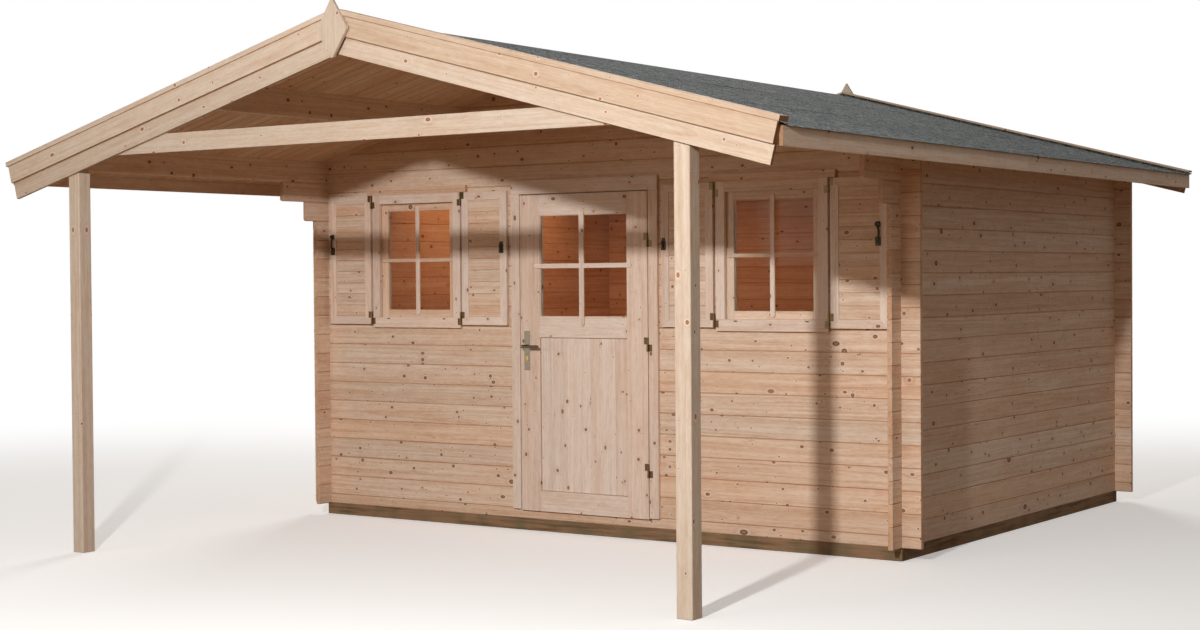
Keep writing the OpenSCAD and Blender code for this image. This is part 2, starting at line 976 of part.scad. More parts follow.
module shutter_pins_at(side) {
  x = window_x + side * shutter_pivot_x;
  y = shutter_pivot_y;
  on_base()
    for (z = shutter_hinge_heights())
      pin_half(x, y, z, x - side * plate_w, front_y - window_trim_t - plate_t);
}

module shutter_hinge_pins() {
  color("darkgoldenrod")
    both_sides() {
      shutter_pins_at(-1);
      shutter_pins_at(1);
    }
}

// The shutters are numbered from left to right
module shutter_1() {
  color("wheat")
    mirror([1, 0, 0])
      shutter_at(1);
}

module shutter_2() {
  color("wheat")
    mirror([1, 0, 0])
      shutter_at(-1);
}

module shutter_3() {
  color("wheat")
    shutter_at(-1);
}

module shutter_4() {
  color("wheat")
    shutter_at(1);
}

module shutter_1_hinges() {
  color("darkgoldenrod")
    mirror([1, 0, 0])
      shutter_hinges_at(1);
}

module shutter_2_hinges() {
  color("darkgoldenrod")
    mirror([1, 0, 0])
      shutter_hinges_at(-1);
}

module shutter_3_hinges() {
  color("darkgoldenrod")
    shutter_hinges_at(-1);
}

module shutter_4_hinges() {
  color("darkgoldenrod")
    shutter_hinges_at(1);
}

cross_sleepers();
sleepers();
floor_boards();
side_wall_left();
side_wall_right();
back_wall();
front_sill_log();
front_wall_left();
front_wall_right();
front_gable();
back_gable();
eave_beams();
middle_purlins();
ridge_purlin();
tie_board();
posts();
roof_boards_left();
roof_boards_right();
roof_felt_left();
roof_felt_right();
fascia_boards();
front_barge_boards();
rear_barge_boards();
front_cover_strips();
rear_cover_strips();
finials();
door_frame();
window_frames();
window_sashes();
window_glass();
door_hinge_pins();
shutter_hinge_pins();
door_leaf();
door_glass();
door_hinge_leaves();
lock_plates();
door_lever();
shutter_1();
shutter_2();
shutter_3();
shutter_4();
shutter_1_hinges();
shutter_2_hinges();
shutter_3_hinges();
shutter_4_hinges();
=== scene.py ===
"""Looks of a wooden garden house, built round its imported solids.

Each sub-assembly is a class that holds its sizes in metres as fields and has methods that make
and dress its meshes. Each finish is a frozen dataclass that lays its own shader. Every position
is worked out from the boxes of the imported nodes.
"""

import logging
import math
import random
from dataclasses import dataclass, field
from enum import Enum
from typing import Sequence

import bmesh
import bpy
from bpy.types import Material, Mesh, Node, NodeSocket, Object
from mathutils import Matrix, Vector


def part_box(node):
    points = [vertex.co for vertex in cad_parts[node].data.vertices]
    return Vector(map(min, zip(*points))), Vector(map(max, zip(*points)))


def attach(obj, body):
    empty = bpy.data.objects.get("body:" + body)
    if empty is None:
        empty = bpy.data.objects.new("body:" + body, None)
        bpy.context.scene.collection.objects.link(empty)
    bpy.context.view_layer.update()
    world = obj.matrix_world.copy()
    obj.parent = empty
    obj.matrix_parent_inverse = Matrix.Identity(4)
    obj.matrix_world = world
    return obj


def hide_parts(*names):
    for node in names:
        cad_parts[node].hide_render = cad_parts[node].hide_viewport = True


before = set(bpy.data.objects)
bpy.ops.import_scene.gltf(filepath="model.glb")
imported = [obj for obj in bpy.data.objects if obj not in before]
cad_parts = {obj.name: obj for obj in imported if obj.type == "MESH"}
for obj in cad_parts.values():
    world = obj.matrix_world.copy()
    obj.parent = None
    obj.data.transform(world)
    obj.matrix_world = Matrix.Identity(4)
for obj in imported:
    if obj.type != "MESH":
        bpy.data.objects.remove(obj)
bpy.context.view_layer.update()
LOG = logging.getLogger("garden_house")

Pair = tuple[float, float]
Triple = tuple[float, float, float]
Value = float | Triple | NodeSocket

HOUSE = "house"
JOINERY_SLOT = "joinery_wood"
SIDES = (-1, 1)
RIGHT, BACK, UP = Vector((1.0, 0.0, 0.0)), Vector((0.0, 1.0, 0.0)), Vector((0.0, 0.0, 1.0))
PITCH = math.radians(14.75)
COS, SIN = math.cos(PITCH), math.sin(PITCH)
WHITE = (1.0, 1.0, 1.0)
BAR_ROUND, BAR_EDGE, PLATE_EDGE = 0.42, 0.0020, 0.3


class Axis(Enum):
    """Directions in which a board's grain or width can run."""

    X = 0
    Y = 1
    Z = 2
    SLOPE = 3
    SQUARE = 4


def linear(colour: Triple) -> Triple:
    """Turns a colour on the usual 0 to 255 scale into scene-linear numbers."""
    shares = [c / 255.0 for c in colour]
    return tuple(s / 12.92 if s <= 0.04045 else ((s + 0.055) / 1.055) ** 2.4 for s in shares)


def box(node: str) -> tuple[Vector, Vector]:
    """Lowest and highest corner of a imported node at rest."""
    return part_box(node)


def mid(node: str, axis: Axis) -> float:
    """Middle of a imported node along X, Y or Z."""
    low, high = box(node)
    return (low[axis.value] + high[axis.value]) / 2


def beside(side: int, near: float, far: float) -> Pair:
    """Range between two distances from the middle, on one side of it."""
    return tuple(sorted((side * near, side * far)))


def grow(spans: Sequence[Pair], by: float) -> list[Pair]:
    """Ranges that reach further by the same length at both ends."""
    return [(low - by, high + by) for low, high in spans]


# ---------------------------------------------------------------- shader nodes


class Graph:
    """Short calls that lay the shader nodes of one material or of the surroundings."""

    def __init__(self, owner: Material | bpy.types.World, output: str = "ShaderNodeOutputMaterial") -> None:
        """Clears the owner's nodes.

        Args:
            owner: What the nodes belong to.
            output: Type of the output node.
        """
        owner.use_nodes = True
        self.owner = owner
        self.tree = owner.node_tree
        self.tree.nodes.clear()
        self.output = self.tree.nodes.new(output)

    def feed(self, socket: NodeSocket, value: Value) -> None:
        """Links a socket to an input, or writes a plain value there.

        Args:
            socket: The input.
            value: A socket, a number, or a colour in shares of 1 or on the 0 to 255 scale.
        """
        if isinstance(value, NodeSocket):
            self.tree.links.new(value, socket)
        elif socket.type == "RGBA":
            socket.default_value = (*(linear(value) if max(value) > 1.0 else value), 1.0)
        else:
            socket.default_value = value

    def node(self, kind: str, inputs: dict | None = None, **settings: object) -> Node:
        """Adds a node.

        Args:
            kind: The node type, without ShaderNode.
            inputs: Values for its inputs by name or number.
            **settings: Values for its properties.

        Returns:
            The node.
        """
        node = self.tree.nodes.new(f"ShaderNode{kind}")
        for name, value in settings.items():
            setattr(node, name, value)
        for key, value in (inputs or {}).items():
            self.feed(node.inputs[key], value)
        return node

    def math(self, operation: str, *values: Value) -> NodeSocket:
        """Result of a sum on one to three numbers."""
        return self.node("Math", dict(enumerate(values)), operation=operation).outputs[0]

    def add(self, a: Value, b: Value) -> NodeSocket:
        """Sum of two numbers."""
        return self.math("ADD", a, b)

    def less(self, a: Value, b: Value) -> NodeSocket:
        """First number less the second."""
        return self.math("SUBTRACT", a, b)

    def times(self, a: Value, b: Value) -> NodeSocket:
        """Product of two numbers."""
        return self.math("MULTIPLY", a, b)

    def madd(self, a: Value, b: Value, c: Value) -> NodeSocket:
        """First number times the second, plus the third."""
        return self.math("MULTIPLY_ADD", a, b, c)

    def sway(self, chance: Value, amount: float, base: Value) -> NodeSocket:
        """Base plus an amount times a number of 0 to 1, counted from its middle."""
        return self.madd(self.add(chance, -0.5), amount, base)

    def length(self, a: Value, b: Value) -> NodeSocket:
        """Length of the way that goes a one way and b square to it."""
        return self.math("SQRT", self.madd(a, a, self.times(b, b)))

    def span(self, value: Value, low: Value, high: Value, to_low: Value = 0.0,
             to_high: Value = 1.0, soft: bool = True) -> NodeSocket:
        """Moves a number from one range into another, held within it.

        Args:
            value: The number.
            low: Start of its range.
            high: End of its range.
            to_low: Result at the start.
            to_high: Result at the end.
            soft: Ease in and out instead of a straight run.

        Returns:
            The result's socket.
        """
        inputs = dict(enumerate((value, low, high, to_low, to_high)))
        kind = "SMOOTHSTEP" if soft else "LINEAR"
        return self.node("MapRange", inputs, interpolation_type=kind).outputs[0]

    def mix(self, share: Value, a: Value, b: Value, blend: str = "MIX") -> NodeSocket:
        """Blend of two colours, by the share of the second."""
        return self.node("Mix", {0: share, 6: a, 7: b}, data_type="RGBA", blend_type=blend).outputs[2]

    def join(self, x: Value, y: Value, z: Value = 0.0) -> NodeSocket:
        """Vector made of three numbers."""
        return self.node("CombineXYZ", {0: x, 1: y, 2: z}).outputs[0]

    def drawn(self, parts: Sequence[Value], scales: Sequence[float]) -> NodeSocket:
        """Vector of two or three numbers, each times its scale."""
        return self.join(*(self.times(p, s) if s else 0.0 for p, s in zip(parts, scales)))

    def split(self, vector: NodeSocket) -> Sequence[NodeSocket]:
        """Three numbers of a vector."""
        return self.node("SeparateXYZ", {0: vector}).outputs

    def spot(self) -> NodeSocket:
        """Where a point lies in the row frame."""
        return self.node("TexCoord").outputs["Object"]

    def noise(self, vector: NodeSocket, scale: float, detail: float = 2.0,
              roughness: float = 0.5) -> Sequence[NodeSocket]:
        """Soft noise."""
        inputs = {"Vector": vector, "Scale": scale, "Detail": detail, "Roughness": roughness}
        return self.node("TexNoise", inputs).outputs

    def grain(self, parts: Sequence[Value], scales: Sequence[float], *layers: float) -> Sequence[NodeSocket]:
        """Soft noise drawn out by a scale for each number, with detail and roughness as layers."""
        return self.noise(self.drawn(parts, scales), 1.0, *layers)

    def attribute(self, name: str) -> Sequence[NodeSocket]:
        """Three numbers that the mesh carries under a name."""
        return self.split(self.node("Attribute", attribute_name=name).outputs["Vector"])

    def finish(self, inputs: dict, height: NodeSocket | None = None, depth: float = 0.0,
               strength: float = 0.0) -> Material:
        """Adds the surface shader and closes the material.

        Args:
            inputs: Values for the shader's inputs by name.
            height: Relief of 0 to 1.
            depth: Depth of the relief in metres.
            strength: Strength of the relief.

        Returns:
            The material.
        """
        if height is not None:
            bump = self.node("Bump", {"Height": height, "Distance": depth, "Strength": strength})
            inputs["Normal"] = bump.outputs[0]
        return self.close(self.node("BsdfPrincipled", inputs))

    def close(self, shader: Node) -> Material:
        """Links the shader to the output."""
        self.tree.links.new(shader.outputs[0], self.output.inputs["Surface"])
        return self.owner


def paint(name: str) -> Graph:
    """Nodes of a new material."""
    return Graph(bpy.data.materials.new(name))


# ---------------------------------------------------------------- how boards lie


@dataclass
class Place:
    """Where a point lies in its own board, as shader sockets."""

    along: NodeSocket
    across: NodeSocket
    depth: NodeSocket
    chance: Sequence[NodeSocket]
    end: NodeSocket
    # Mask at the joints between boards: it marks the dark gap and lays painted shade in the V-grooves.
    joint: Value = 0.0


@dataclass(frozen=True)
class Boards:
    """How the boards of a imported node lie, read from its place in the frame."""

    grain: Axis
    across: Axis
    depth: Axis
    middle: float = 0.0
    centre: float = 0.0
    mirrored: bool = False
    pitch: float = 0.0
    first: float = 0.0

    def place(self, g: Graph) -> Place:
        """Lays the nodes that find a point's own board.

        Args:
            g: The material's nodes.

        Returns:
            The point's place.
        """
        source = g.node("TexCoord").outputs
        x, y, z = g.split(source["Object"])
        normal = g.split(source["Normal"])
        side = g.math("SIGN", x)
        run = g.math("ABSOLUTE", x) if self.mirrored else x
        ways = {Axis.X: run, Axis.Y: y, Axis.Z: z}
        if self.grain is Axis.SLOPE:
            ways[Axis.SLOPE] = g.madd(run, COS, g.times(z, -SIN))
            ways[Axis.SQUARE] = g.madd(run, SIN, g.times(z, COS))
            facing = g.madd(g.times(normal[0], side), COS, g.times(normal[2], -SIN))
        else:
            facing = normal[self.grain.value]
        width = ways[self.across]
        number, joint, across = 0.0, 0.0, None
        if self.pitch:
            count = g.math("DIVIDE", g.add(width, -self.first), self.pitch)
            number = g.math("FLOOR", count)
            share = g.math("FRACT", count)
            # The joint mask covers the V-groove round each joint, for the dark gap and for painted shade in the
            # groove.
            joint = g.span(g.math("MINIMUM", share, g.less(1.0, share)), 0.006, 0.030, 1.0, 0.0)
            across = g.times(g.add(share, -0.5), self.pitch)
        key = g.join(number, side if self.mirrored else 0.0, 0.0 if self.pitch else g.math("SIGN", y))
        chance = g.node("TexWhiteNoise", {"Vector": key}).outputs["Color"]
        return Place(
            along=ways[self.grain],
            across=g.add(width, -self.centre) if across is None else across,
            depth=g.add(ways[self.depth], -self.middle),
            chance=g.split(chance),
            end=g.span(g.math("ABSOLUTE", facing), 0.6, 0.8),
            joint=joint,
        )


@dataclass(frozen=True)
class Carried:
    """Boards whose place is carried by the mesh that was made for them."""

    def place(self, g: Graph) -> Place:
        """Lays the nodes that read a member's own grain.

        Args:
            g: The material's nodes.

        Returns:
            The point's place.
        """
        along, across, depth = g.attribute("lay")
        first, second, end = g.attribute("tone")
        third = g.math("FRACT", g.add(g.times(first, 7.13), second))
        return Place(along, across, depth, (first, second, third), end)


# ---------------------------------------------------------------- finishes


@dataclass(frozen=True)
class Knots:
    """One size of knot, strewn over the boards."""

    cell_l: float
    cell_w: float
    share: float
    size: float
    salt: float
    flare: float = 0.0

    def place(self, g: Graph, place: Place, along: NodeSocket) -> Pair:
        """Lays the nodes that find the nearest knot.

        Args:
            g: The material's nodes.
            place: The point's place in its board.
            along: Way along the grain, shifted for this board.

        Returns:
            Distance from the knot's middle as a share of its radius, and the knot's own chance.
        """
        way = g.add(place.across, place.depth)
        here = g.join(g.madd(along, 1.0 / self.cell_l, self.salt),
                      g.madd(place.chance[2], 37.0, g.times(way, 1.0 / self.cell_w)))
        cells = g.node("TexVoronoi", {"Vector": here, "Scale": 1.0, "Randomness": 0.95},
                       voronoi_dimensions="2D").outputs
        here, there, luck = g.split(here), g.split(cells["Position"]), g.split(cells["Color"])
        du = g.times(g.less(here[0], there[0]), self.cell_l)
        dv = g.times(g.less(here[1], there[1]), self.cell_w)
        du = g.times(du, g.span(luck[1], 0.0, 1.0, 0.55, 1.0, soft=False))
        size = g.span(luck[0], 1.0 - self.share, 1.0, self.size * 0.45, self.size, soft=False)
        grown = g.times(g.math("GREATER_THAN", luck[0], 1.0 - self.share), g.less(1.0, place.end))
        lost = g.times(g.less(1.0, grown), 100.0)
        return g.add(g.math("DIVIDE", g.length(du, dv), size), lost), luck[2]


@dataclass(frozen=True)
class Spruce:
    """Planed spruce: growth rings round a wandering pith, streaks, flecks, knots and board tones, with the board
    joints darkened partly as their dark gap and partly as painted shade in the V-grooves.
    """

    name: str
    pale: Triple
    deep: Triple
    warm: Triple
    knots: tuple[Knots, ...] = (Knots(0.17, 0.105, 0.42, 0.0080, 0.0, 1.0),
                                Knots(0.085, 0.055, 0.24, 0.0038, 31.0))
    ring_share: float = 0.30
    band_share: float = 0.42
    cut_end: Triple = (0.92, 0.86, 0.80)
    knot: Triple = (98, 62, 42)
    red_knot: Triple = (170, 118, 84)
    halo: Triple = (246, 229, 212)
    # Tint multiplied in at the board joints: partly the dark gap, partly painted shade in the V-grooves.
    seam_gap_and_shade: Triple = (0.78, 0.64, 0.52)
    ring: float = 0.0052
    tone_range: float = 0.10
    roughness: float = 0.58

    def material(self, lie: Boards | Carried, label: str = "") -> Material:
        """Makes the finish for boards that lie in a given way.

        Args:
            lie: How the boards lie.
            label: What tells this material from others of the finish.

        Returns:
            The material.
        """
        g = paint(self.name + label)
        place = lie.place(g)
        r1, r2, r3 = place.chance
        along = g.madd(r1, 61.0, place.along)
        body = (along, place.across, place.depth)
        slow = g.split(g.grain((along, r2), (0.8, 90.0), 1.0)[1])
        spots = [(kind, *kind.place(g, place, along)) for kind in self.knots]
        nearest = spots[0][1]
        streak = g.grain(body, (2.2, 60.0, 60.0), 3.0, 0.6)[0]
        late, radius = self.rings(g, place, slow, streak, nearest)
        years = g.grain((radius, r2, along), (95.0, 40.0, 0.25), 2.0, 0.55)[0]
        flecks = g.grain(body, (24.0, 130.0, 130.0), 2.0, 0.6)[0]
        clouds = g.grain(body, (11.0, 26.0, 26.0), 2.0, 0.55)[0]
        share = g.madd(late, self.ring_share, g.times(g.span(years, 0.34, 0.70), self.band_share))
        for chance, amount in ((streak, 1.15), (flecks, 0.90), (clouds, 0.55)):
            share = g.sway(chance, amount, share)
        share = g.madd(place.end, 0.22, share)
        colour = g.mix(g.span(share, -0.1, 1.0, soft=False), self.pale, self.deep)
        patch = g.grain((along, r2, place.across), (1.7, 70.0, 6.0), 2.0)[0]
        warmth = g.span(g.madd(r3, 0.6, g.times(patch, 0.8)), 0.45, 1.15, 0.0, 0.75)
        colour = g.mix(warmth, colour, self.warm, "MULTIPLY")
        for spot in spots:
            colour = self.knotted(g, colour, *spot)
        level = g.span(r2, 0.0, 1.0, 1.0 - self.tone_range, 1.0, soft=False)
        # The joint tint is partly the dark gap and partly painted shade in the V-grooves.
        for share, tint in ((1.0, g.join(level, level, level)), (place.joint, self.seam_gap_and_shade),
                            (place.end, self.cut_end)):
            colour = g.mix(share, colour, tint, "MULTIPLY")
        relief = g.madd(late, 0.25, g.times(streak, 0.55))
        relief = g.madd(g.span(nearest, 1.15, 0.75), 0.5, relief)
        return g.finish({"Base Color": colour, "Roughness": g.madd(streak, 0.18, self.roughness - 0.06),
                         "Specular IOR Level": 0.06}, relief, 0.0007, 0.35)

    def rings(self, g: Graph, place: Place, slow: Sequence[NodeSocket], streak: NodeSocket,
              nearest: NodeSocket) -> Pair:
        """Lays the growth rings round a pith that wanders along the board.

        Args:
            g: The material's nodes.
            place: The point's place in its board.
            slow: Slow noise that moves the pith.
            streak: Fine noise that frays the rings.
            nearest: Distance from the nearest knot, which bends them.

        Returns:
            How late in its year the wood grew, and the distance from the pith.
        """
        r1, _, r3 = place.chance
        lateral = g.add(place.across, g.times(g.add(r1, -0.5), 0.13))
        lateral = g.sway(slow[0], 0.05, lateral)
        height = g.madd(r3, 0.10, g.add(place.depth, 0.018))
        height = g.sway(slow[1], 0.03, height)
        reach = g.math("SQRT", g.add(g.times(lateral, lateral), g.times(height, height)))
        radius = g.madd(streak, 0.0022, reach)
        radius = g.madd(g.span(nearest, 5.0, 0.8), 0.0055, radius)
        return g.math("POWER", g.math("FRACT", g.math("DIVIDE", radius, self.ring)), 3.0), radius

    def knotted(self, g: Graph, colour: NodeSocket, kind: Knots, ratio: NodeSocket,
                luck: NodeSocket) -> NodeSocket:
        """Lays one size of knot over the wood: flare, pale halo, dark rim and red heart.

        Args:
            g: The material's nodes.
            colour: The wood's colour.
            kind: The size of knot.
            ratio: Distance from the knot's middle as a share of its radius.
            luck: The knot's own chance.

        Returns:
            The colour with the knots.
        """
        if kind.flare:
            colour = g.mix(g.span(ratio, 3.6, 1.0, 0.0, 0.26 * kind.flare), colour, self.red_knot)
        colour = g.mix(g.span(ratio, 2.6, 1.3, 0.0, 0.42), colour, self.halo)
        rim = g.mix(g.span(luck, 0.55, 0.75), self.knot, self.red_knot)
        heart = g.mix(g.span(ratio, 0.45, 0.85), self.red_knot, rim)
        return g.mix(g.span(ratio, 1.15, 0.90, 0.0, 0.95), colour, heart)


@dataclass(frozen=True)
class TreatedWood:
    """Sawn, pressure-treated softwood with a green cast and saw marks."""

    name: str = "treated_softwood"
    brown: Triple = (150, 120, 92)
    green: Triple = (128, 110, 84)
    dark: Triple = (88, 64, 46)

    def material(self, lie: Boards | Carried, label: str = "") -> Material:
        """Makes the finish.

        Args:
            lie: How the timbers lie.
            label: What tells this material from others of the finish.

        Returns:
            The material.
        """
        g = paint(self.name + label)
        place = lie.place(g)
        body = (place.along, place.across, place.depth)
        streak = g.grain(body, (3.0, 60.0, 60.0), 3.0, 0.6)[0]
        cast = g.noise(g.join(*body), 5.0, 3.0)[0]
        colour = g.mix(g.span(cast, 0.42, 0.66), self.brown, self.green)
        colour = g.mix(g.span(streak, 0.42, 0.75, 0.0, 0.75), colour, self.dark)
        colour = g.mix(g.times(place.end, 0.45), colour, self.dark)
        saw = g.grain((place.along, 0.0, place.across), (260.0, 0.0, 12.0), 1.0)[0]
        relief = g.madd(saw, 0.5, g.times(streak, 0.8))
        return g.finish({"Base Color": colour, "Roughness": 0.86, "Specular IOR Level": 0.05},
                        relief, 0.0016, 0.6)


@dataclass(frozen=True)
class Felt:
    """Slate-grey roofing felt with mineral granules."""

    name: str = "roofing_felt"
    mid: Triple = (150, 158, 159)
    dark: Triple = (30, 35, 37)
    light: Triple = (228, 232, 229)

    def material(self) -> Material:
        """Makes the finish.

        Returns:
            The material.
        """
        g = paint(self.name)
        spot = g.spot()
        flat = g.split(spot)[:2]
        grains = g.node("TexVoronoi", {"Vector": spot, "Scale": 300.0}).outputs
        speck = g.split(grains["Color"])[0]
        patches = g.node("TexVoronoi", {"Vector": g.drawn(flat, (22.0, 30.0))}).outputs
        flock = g.split(patches["Color"])
        clumps = g.grain(flat, (15.0, 22.0), 3.0, 0.6)[0]
        drift = g.grain(flat, (9.0, 4.0), 4.0, 0.65)[0]
        cloud = g.grain(flat, (1.4, 0.8), 2.0)[0]
        share = g.sway(clumps, 3.6, g.times(drift, 0.9))
        share = g.sway(flock[0], 1.5, share)
        share = g.sway(speck, 0.25, share)
        colour = g.mix(g.span(share, 0.10, 0.85, soft=False), self.dark, self.mid)
        flake = g.span(g.madd(speck, 0.15, g.times(flock[1], 0.85)), 0.84, 0.92, 0.0, 0.85)
        colour = g.mix(flake, colour, self.light)
        colour = g.mix(g.span(cloud, 0.3, 0.7, 0.0, 0.18), colour, self.dark)
        return g.finish({"Base Color": colour, "Roughness": 0.95, "Specular IOR Level": 0.03},
                        g.madd(speck, 0.5, g.times(clumps, 0.5)), 0.0012, 0.5)


@dataclass(frozen=True)
class Metal:
    """Fittings metal with a brushed or slightly worn face."""

    name: str
    colour: Triple
    worn: Triple
    roughness: float = 0.34
    metallic: float = 1.0

    def material(self) -> Material:
        """Makes the finish.

        Returns:
            The material.
        """
        g = paint(self.name)
        spot = g.spot()
        brushed = g.grain(g.split(spot), (900.0, 900.0, 30.0), 2.0)[0]
        wear = g.noise(spot, 70.0, 3.0, 0.6)[0]
        colour = g.mix(g.span(wear, 0.45, 0.75, 0.0, 0.7), self.colour, self.worn)
        return g.finish({"Base Color": colour, "Metallic": self.metallic,
                         "Roughness": g.madd(brushed, 0.22, self.roughness - 0.08)}, brushed, 0.0002, 0.25)


@dataclass(frozen=True)
class Pane:
    """Clear window glass."""

    name: str = "window_glass_clear"
    tint: Triple = (238, 246, 243)

    def material(self) -> Material:
        """Makes the finish.

        Returns:
            The material.
        """
        g = paint(self.name)
        return g.finish({"Base Color": self.tint, "Roughness": 0.0, "IOR": 1.12, "Transmission Weight": 1.0},
                        g.noise(g.spot(), 2.5, 1.0)[0], 0.002, 0.05)


@dataclass(frozen=True)
class Shade:
    """Painted shade of a slot: a dark, slightly mottled colour that stands in for the shade inside an opening."""

    name: str = "painted_slot_shade"
    colour: Triple = (34, 26, 20)
    edge: Triple = (70, 55, 44)

    def material(self) -> Material:
        """Makes the finish.

        Returns:
            The material.
        """
        g = paint(self.name)
        mottle = g.times(g.noise(g.spot(), 300.0)[0], 0.4)
        return g.finish({"Base Color": g.mix(mottle, self.colour, self.edge), "Roughness": 0.8})


LOGS = Spruce("log_spruce", (239, 219, 200), (207, 165, 132), (251, 234, 220),
              (Knots(0.17, 0.105, 0.46, 0.0100, 0.0, 0.9), Knots(0.085, 0.055, 0.28, 0.0044, 31.0),
               Knots(0.60, 0.121, 0.34, 0.0150, 67.0, 1.2)))
TRIM = Spruce("trim_spruce", (218, 203, 187), (190, 160, 133), (251, 237, 223),
              (Knots(0.21, 0.105, 0.38, 0.0092, 0.0, 0.9), Knots(0.11, 0.055, 0.20, 0.0032, 31.0)),
              0.24, 0.34, (0.52, 0.38, 0.27))
JOINERY = Spruce("joinery_spruce", (244, 229, 217), (214, 184, 161), (251, 237, 227),
                 (Knots(0.17, 0.095, 0.42, 0.0092, 0.0, 0.9), Knots(0.09, 0.050, 0.24, 0.0030, 31.0)),
                 0.24, 0.34)
FASCIA = Spruce("fascia_spruce", (240, 220, 202), (208, 172, 142), (251, 235, 221), TRIM.knots,
                0.24, 0.34, (0.50, 0.37, 0.26))
LINING = Spruce("roof_spruce", (238, 216, 192), (208, 170, 134), (248, 228, 208))
FLOORING = Spruce("floor_spruce", (228, 200, 168), (198, 156, 116), (246, 224, 200))
TREATED = TreatedWood()
STEEL = Metal("aged_nickel", (150, 137, 120), (112, 100, 86))
LEVER = Metal("worn_nickel", (104, 96, 78), (64, 56, 44))
BRONZE = Metal("bronzed_steel", (104, 80, 54), (68, 50, 34), 0.40)
IRON = Metal("dark_iron", (62, 52, 36), (36, 30, 22), 0.46, 0.85)
BRASS = Metal("cylinder_brass", (206, 170, 96), (160, 124, 62), 0.28)
NAILS = Metal("zinc_nail", (150, 146, 138), (104, 98, 90), 0.45)


# ---------------------------------------------------------------- mesh makers


def dress(node: str, finish: Material, edge: float = 0.0) -> Object:
    """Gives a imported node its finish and, where asked, eased edges.

    Args:
        node: The node's name.
        finish: Its material.
        edge: Width of the eased edges in metres, or 0 for none.

    Returns:
        The node's object.
    """
    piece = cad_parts[node]
    for index in range(len(piece.data.materials)):
        piece.data.materials[index] = finish
    if edge:
        weld = piece.modifiers.new("weld", "WELD")
        weld.merge_threshold = 0.00002
        ease = piece.modifiers.new("ease", "BEVEL")
        ease.width = edge
        ease.segments = 2
        ease.limit_method = "ANGLE"
        ease.angle_limit = math.radians(40)
        ease.harden_normals = False
        level = piece.modifiers.new("level", "WEIGHTED_NORMAL")
        level.keep_sharp = False
    return piece


def bridge(shape: bmesh.types.BMesh, low: Sequence, high: Sequence) -> None:
    """Joins two rings of corners with faces all the way round.

    Args:
        shape: The mesh that takes the faces.
        low: The first ring.
        high: The second ring.
    """
    for k in range(len(low)):
        after = (k + 1) % len(low)
        shape.faces.new((low[k], low[after], high[after], high[k]))


def prism(outline: Sequence[Vector], run: Vector, edge: float, sharp: float = 0.6) -> bmesh.types.BMesh:
    """Pushes a flat outline along a straight run and eases its edges.

    Args:
        outline: Corners of the outline, in order.
        run: How far and which way it is pushed.
        edge: Width of the eased edges, or 0 for none.
        sharp: Least angle between two faces whose edge is eased.

    Returns:
        The shape.
    """
    shape = bmesh.new()
    low = [shape.verts.new(point) for point in outline]
    high = [shape.verts.new(point + run) for point in outline]
    shape.faces.new(low)
    shape.faces.new(high[::-1])
    bridge(shape, low, high)
    bmesh.ops.recalc_face_normals(shape, faces=shape.faces)
    if edge:
        corners = [e for e in shape.edges if e.calc_face_angle(0.0) > sharp]
        bmesh.ops.bevel(shape, geom=corners, offset=edge, segments=2, affect="EDGES", profile=0.5)
    return shape


def rounded(x: Pair, y: float, z: Pair, radius: float) -> list[Vector]:
    """Outline of a rectangle with rounded corners, six facets to a corner.

    Args:
        x: Range from left to right.
        y: Where it stands from front to back.
        z: Range from below to above.
        radius: Radius of the corners.

    Returns:
        Points of the outline, in order.
    """
    (x0, x1), (z0, z1) = grow((x, z), -radius)
    points = []
    for cx, cz, start in ((x1, z1, 0), (x0, z1, 90), (x0, z0, 180), (x1, z0, 270)):
        for k in range(7):
            turn = math.radians(start + 15 * k)
            points.append(Vector((cx + radius * math.cos(turn), y, cz + radius * math.sin(turn))))
    return points


@dataclass
class Work:
    """A piece in the making: its name, slot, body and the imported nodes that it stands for."""

    name: str
    slot: str = JOINERY_SLOT
    body: str = HOUSE
    replaces: tuple[str, ...] = ()

    def place(self, mesh: Mesh, finish: Material) -> Object:
        """Puts the finished mesh into the scene on its body.

        Args:
            mesh: The mesh, in the row frame.
            finish: Its material.

        Returns:
            The piece.
        """
        piece = bpy.data.objects.new(self.name, mesh)
        bpy.context.scene.collection.objects.link(piece)
        piece.data.materials.append(finish)
        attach(piece, self.body)
        if self.replaces:
            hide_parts(*self.replaces)
        return piece


@dataclass
class Skin(Work):
    """Collects faces into one mesh."""

    shape: bmesh.types.BMesh = field(default_factory=bmesh.new)

    def mesh(self) -> Mesh:
        """Mesh of the collected shape, its normals outwards.

        Returns:
            The mesh.
        """
        bmesh.ops.recalc_face_normals(self.shape, faces=self.shape.faces)
        mesh = bpy.data.meshes.new(self.name)
        self.shape.to_mesh(mesh)
        self.shape.free()
        return mesh


